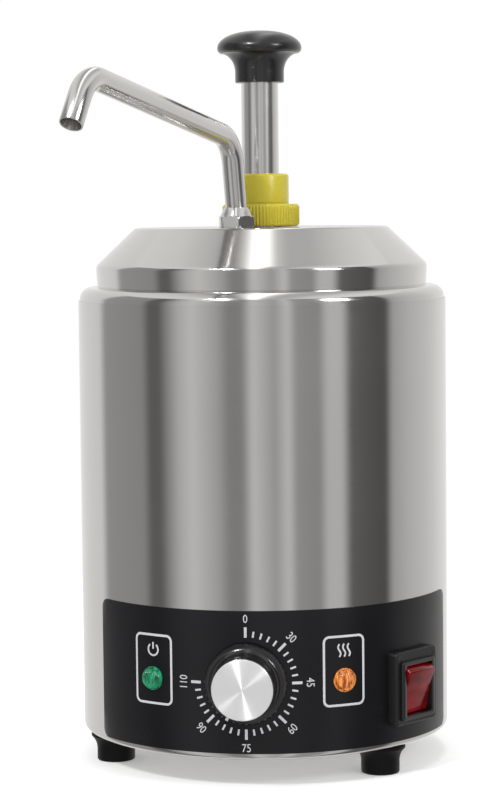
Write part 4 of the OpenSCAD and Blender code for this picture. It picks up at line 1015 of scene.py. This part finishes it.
def boards():
    """A ring of upright boards, above and below the floor's level, with one overhead and one below."""
    upright, tree, glow = plain_emission("boards", 1.0)
    where = tree.nodes.new("ShaderNodeTexCoord").outputs["Object"]
    split = tree.nodes.new("ShaderNodeSeparateXYZ")
    connect(tree, (where, split.inputs[0]))
    turn = math_node(tree, "ARCTAN2", split.outputs["X"],
                     math_node(tree, "MULTIPLY", split.outputs["Y"], -1.0))
    share = math_node(tree, "ADD", math_node(tree, "MULTIPLY", turn, 0.5 / math.pi),
                      0.5 - CAMERA_SIDE / 360)
    share = math_node(tree, "FRACT", share)
    stops = [(angle / 360 + 0.5, value) for angle, value in BOARDS]
    connect(tree, (glow_ramp(tree, share, stops), glow.inputs["Color"]))
    a = np.linspace(0, 2 * np.pi, BOARD_SIDES, endpoint=False)
    ring = [(BOARD_R * math.cos(t), BOARD_R * math.sin(t), z) for z in (BOARD_LOW, BOARD_TOP) for t in a]
    sides = [(k, (k + 1) % BOARD_SIDES) for k in range(BOARD_SIDES)]
    walls = [[k, after, BOARD_SIDES + after, BOARD_SIDES + k] for k, after in sides]
    reflected_only(stage_mesh("boards", ring, walls, upright))
    overhead, tree, glow = plain_emission("boards_overhead", 1.0)
    where = tree.nodes.new("ShaderNodeTexCoord").outputs["Object"]
    split = tree.nodes.new("ShaderNodeSeparateXYZ")
    connect(tree, (where, split.inputs[0]))
    share = math_node(tree, "ADD", math_node(tree, "MULTIPLY", split.outputs["X"], 0.5 / BOARD_R), 0.5)
    stops = [(x / 2 / BOARD_R + 0.5, value) for x, value in OVERHEAD]
    connect(tree, (glow_ramp(tree, share, stops), glow.inputs["Color"]))
    reflected_only(stage_mesh("boards_overhead", ring[BOARD_SIDES:], [list(range(BOARD_SIDES))], overhead))
    middle = (0, 0, BOARD_LOW)
    wedges = [[k, after, BOARD_SIDES] for k, after in sides]
    reflected_only(stage_mesh("board_below", ring[:BOARD_SIDES] + [middle], wedges, upright))


boards()


FLOOR_LIFT = 0.25
FLOOR_SIZE = 30.0


def floor():
    """Pale floor that carries the soft shadow, lifted to white and blended into the white behind it."""
    material, tree, bsdf = shader("pale_floor", (0.93, 0.93, 0.93), 0.0, 0.9, Specular_IOR_Level=0.0)
    where = tree.nodes.new("ShaderNodeTexCoord").outputs["Object"]
    tint(tree, bsdf, noise(tree, where, 3.0), (0.92, 0.92, 0.92), (0.94, 0.94, 0.94))
    bsdf.inputs["Emission Color"].default_value = (1, 1, 1, 1)
    bsdf.inputs["Emission Strength"].default_value = FLOOR_LIFT
    far = tree.nodes.new("ShaderNodeVectorMath")
    far.operation = "LENGTH"
    fade = tree.nodes.new("ShaderNodeMapRange")
    fade.inputs["From Min"].default_value = 0.25
    fade.inputs["From Max"].default_value = 0.75
    white = tree.nodes.new("ShaderNodeEmission")
    blend = tree.nodes.new("ShaderNodeMixShader")
    connect(tree, (where, far.inputs[0]), (far.outputs["Value"], fade.inputs["Value"]),
            (fade.outputs["Result"], blend.inputs[0]), (bsdf.outputs[0], blend.inputs[1]),
            (white.outputs[0], blend.inputs[2]),
            (blend.outputs[0], tree.nodes["Material Output"].inputs["Surface"]))
    size = FLOOR_SIZE
    piece = stage_mesh("floor", [(-size, -size, 0), (size, -size, 0), (size, size, 0), (-size, size, 0)],
                       [[0, 1, 2, 3]], material)
    piece.visible_glossy = False


floor()

world = bpy.data.worlds.new("studio")
bpy.context.scene.world = world
world.use_nodes = True
sky = world.node_tree
back = sky.nodes["Background"]
rays = sky.nodes.new("ShaderNodeLightPath")
seen = math_node(sky, "MAXIMUM", rays.outputs["Is Camera Ray"], rays.outputs["Is Glossy Ray"])
seen = math_node(sky, "MAXIMUM", seen, rays.outputs["Is Transmission Ray"])
level = sky.nodes.new("ShaderNodeMapRange")
level.inputs["To Min"].default_value = 0.72
level.inputs["To Max"].default_value = 1.0
connect(sky, (seen, level.inputs["Value"]), (level.outputs["Result"], back.inputs["Strength"]))
back.inputs["Color"].default_value = (1, 1, 1, 1)


def soft_lamp(name, at, aim, power, size, reflected=True):
    lamp = bpy.data.lights.new(name, "AREA")
    lamp.energy = power
    lamp.size = size
    holder = bpy.data.objects.new(name, lamp)
    holder.location = at
    holder.rotation_euler = (Vector(aim) - Vector(at)).to_track_quat("-Z", "Y").to_euler()
    holder.visible_glossy = reflected
    bpy.context.scene.collection.objects.link(holder)


soft_lamp("key", (-0.55, -1.2, 1.35), (0, 0, 0.2), 13.0, 0.22)
soft_lamp("fill", (1.2, -0.9, 0.9), (0, 0, 0.2), 6.0, 0.4)
soft_lamp("top", (0.1, 0.1, 1.6), (0, 0, 0.2), 6.0, 0.5, reflected=False)

camera = bpy.data.cameras.new("camera")
camera.lens = 111.69
camera.sensor_width = 36.0
camera.sensor_fit = "AUTO"
camera.clip_start = 0.05
viewer = bpy.data.objects.new("camera", camera)
bpy.context.scene.collection.objects.link(viewer)
bpy.context.scene.camera = viewer


def aim_camera(place_m, face_deg, pitch_deg, yaw, roll):
    """Looks from place towards the axis, pitched down, turned and rolled by small angles in radians."""
    azimuth = math.radians(face_deg)
    inward = Vector((-math.sin(azimuth), math.cos(azimuth), 0))
    right = Vector((math.cos(azimuth), math.sin(azimuth), 0))
    heading = inward * math.cos(yaw) + right * math.sin(yaw)
    right = right * math.cos(yaw) - inward * math.sin(yaw)
    pitch = math.radians(pitch_deg)
    forward = heading * math.cos(pitch) + Vector((0, 0, -math.sin(pitch)))
    up = heading * math.sin(pitch) + Vector((0, 0, math.cos(pitch)))
    right, up = right * math.cos(roll) + up * math.sin(roll), up * math.cos(roll) - right * math.sin(roll)
    turn = Matrix((right, up, -forward)).transposed()
    viewer.matrix_world = Matrix.Translation(Vector(place_m)) @ turn.to_4x4()


aim_camera((0.1439, -1.4162, 0.316), 5.8, 4.532, -0.0046, -0.0104)

scene = bpy.context.scene
scene.view_settings.view_transform = "Standard"
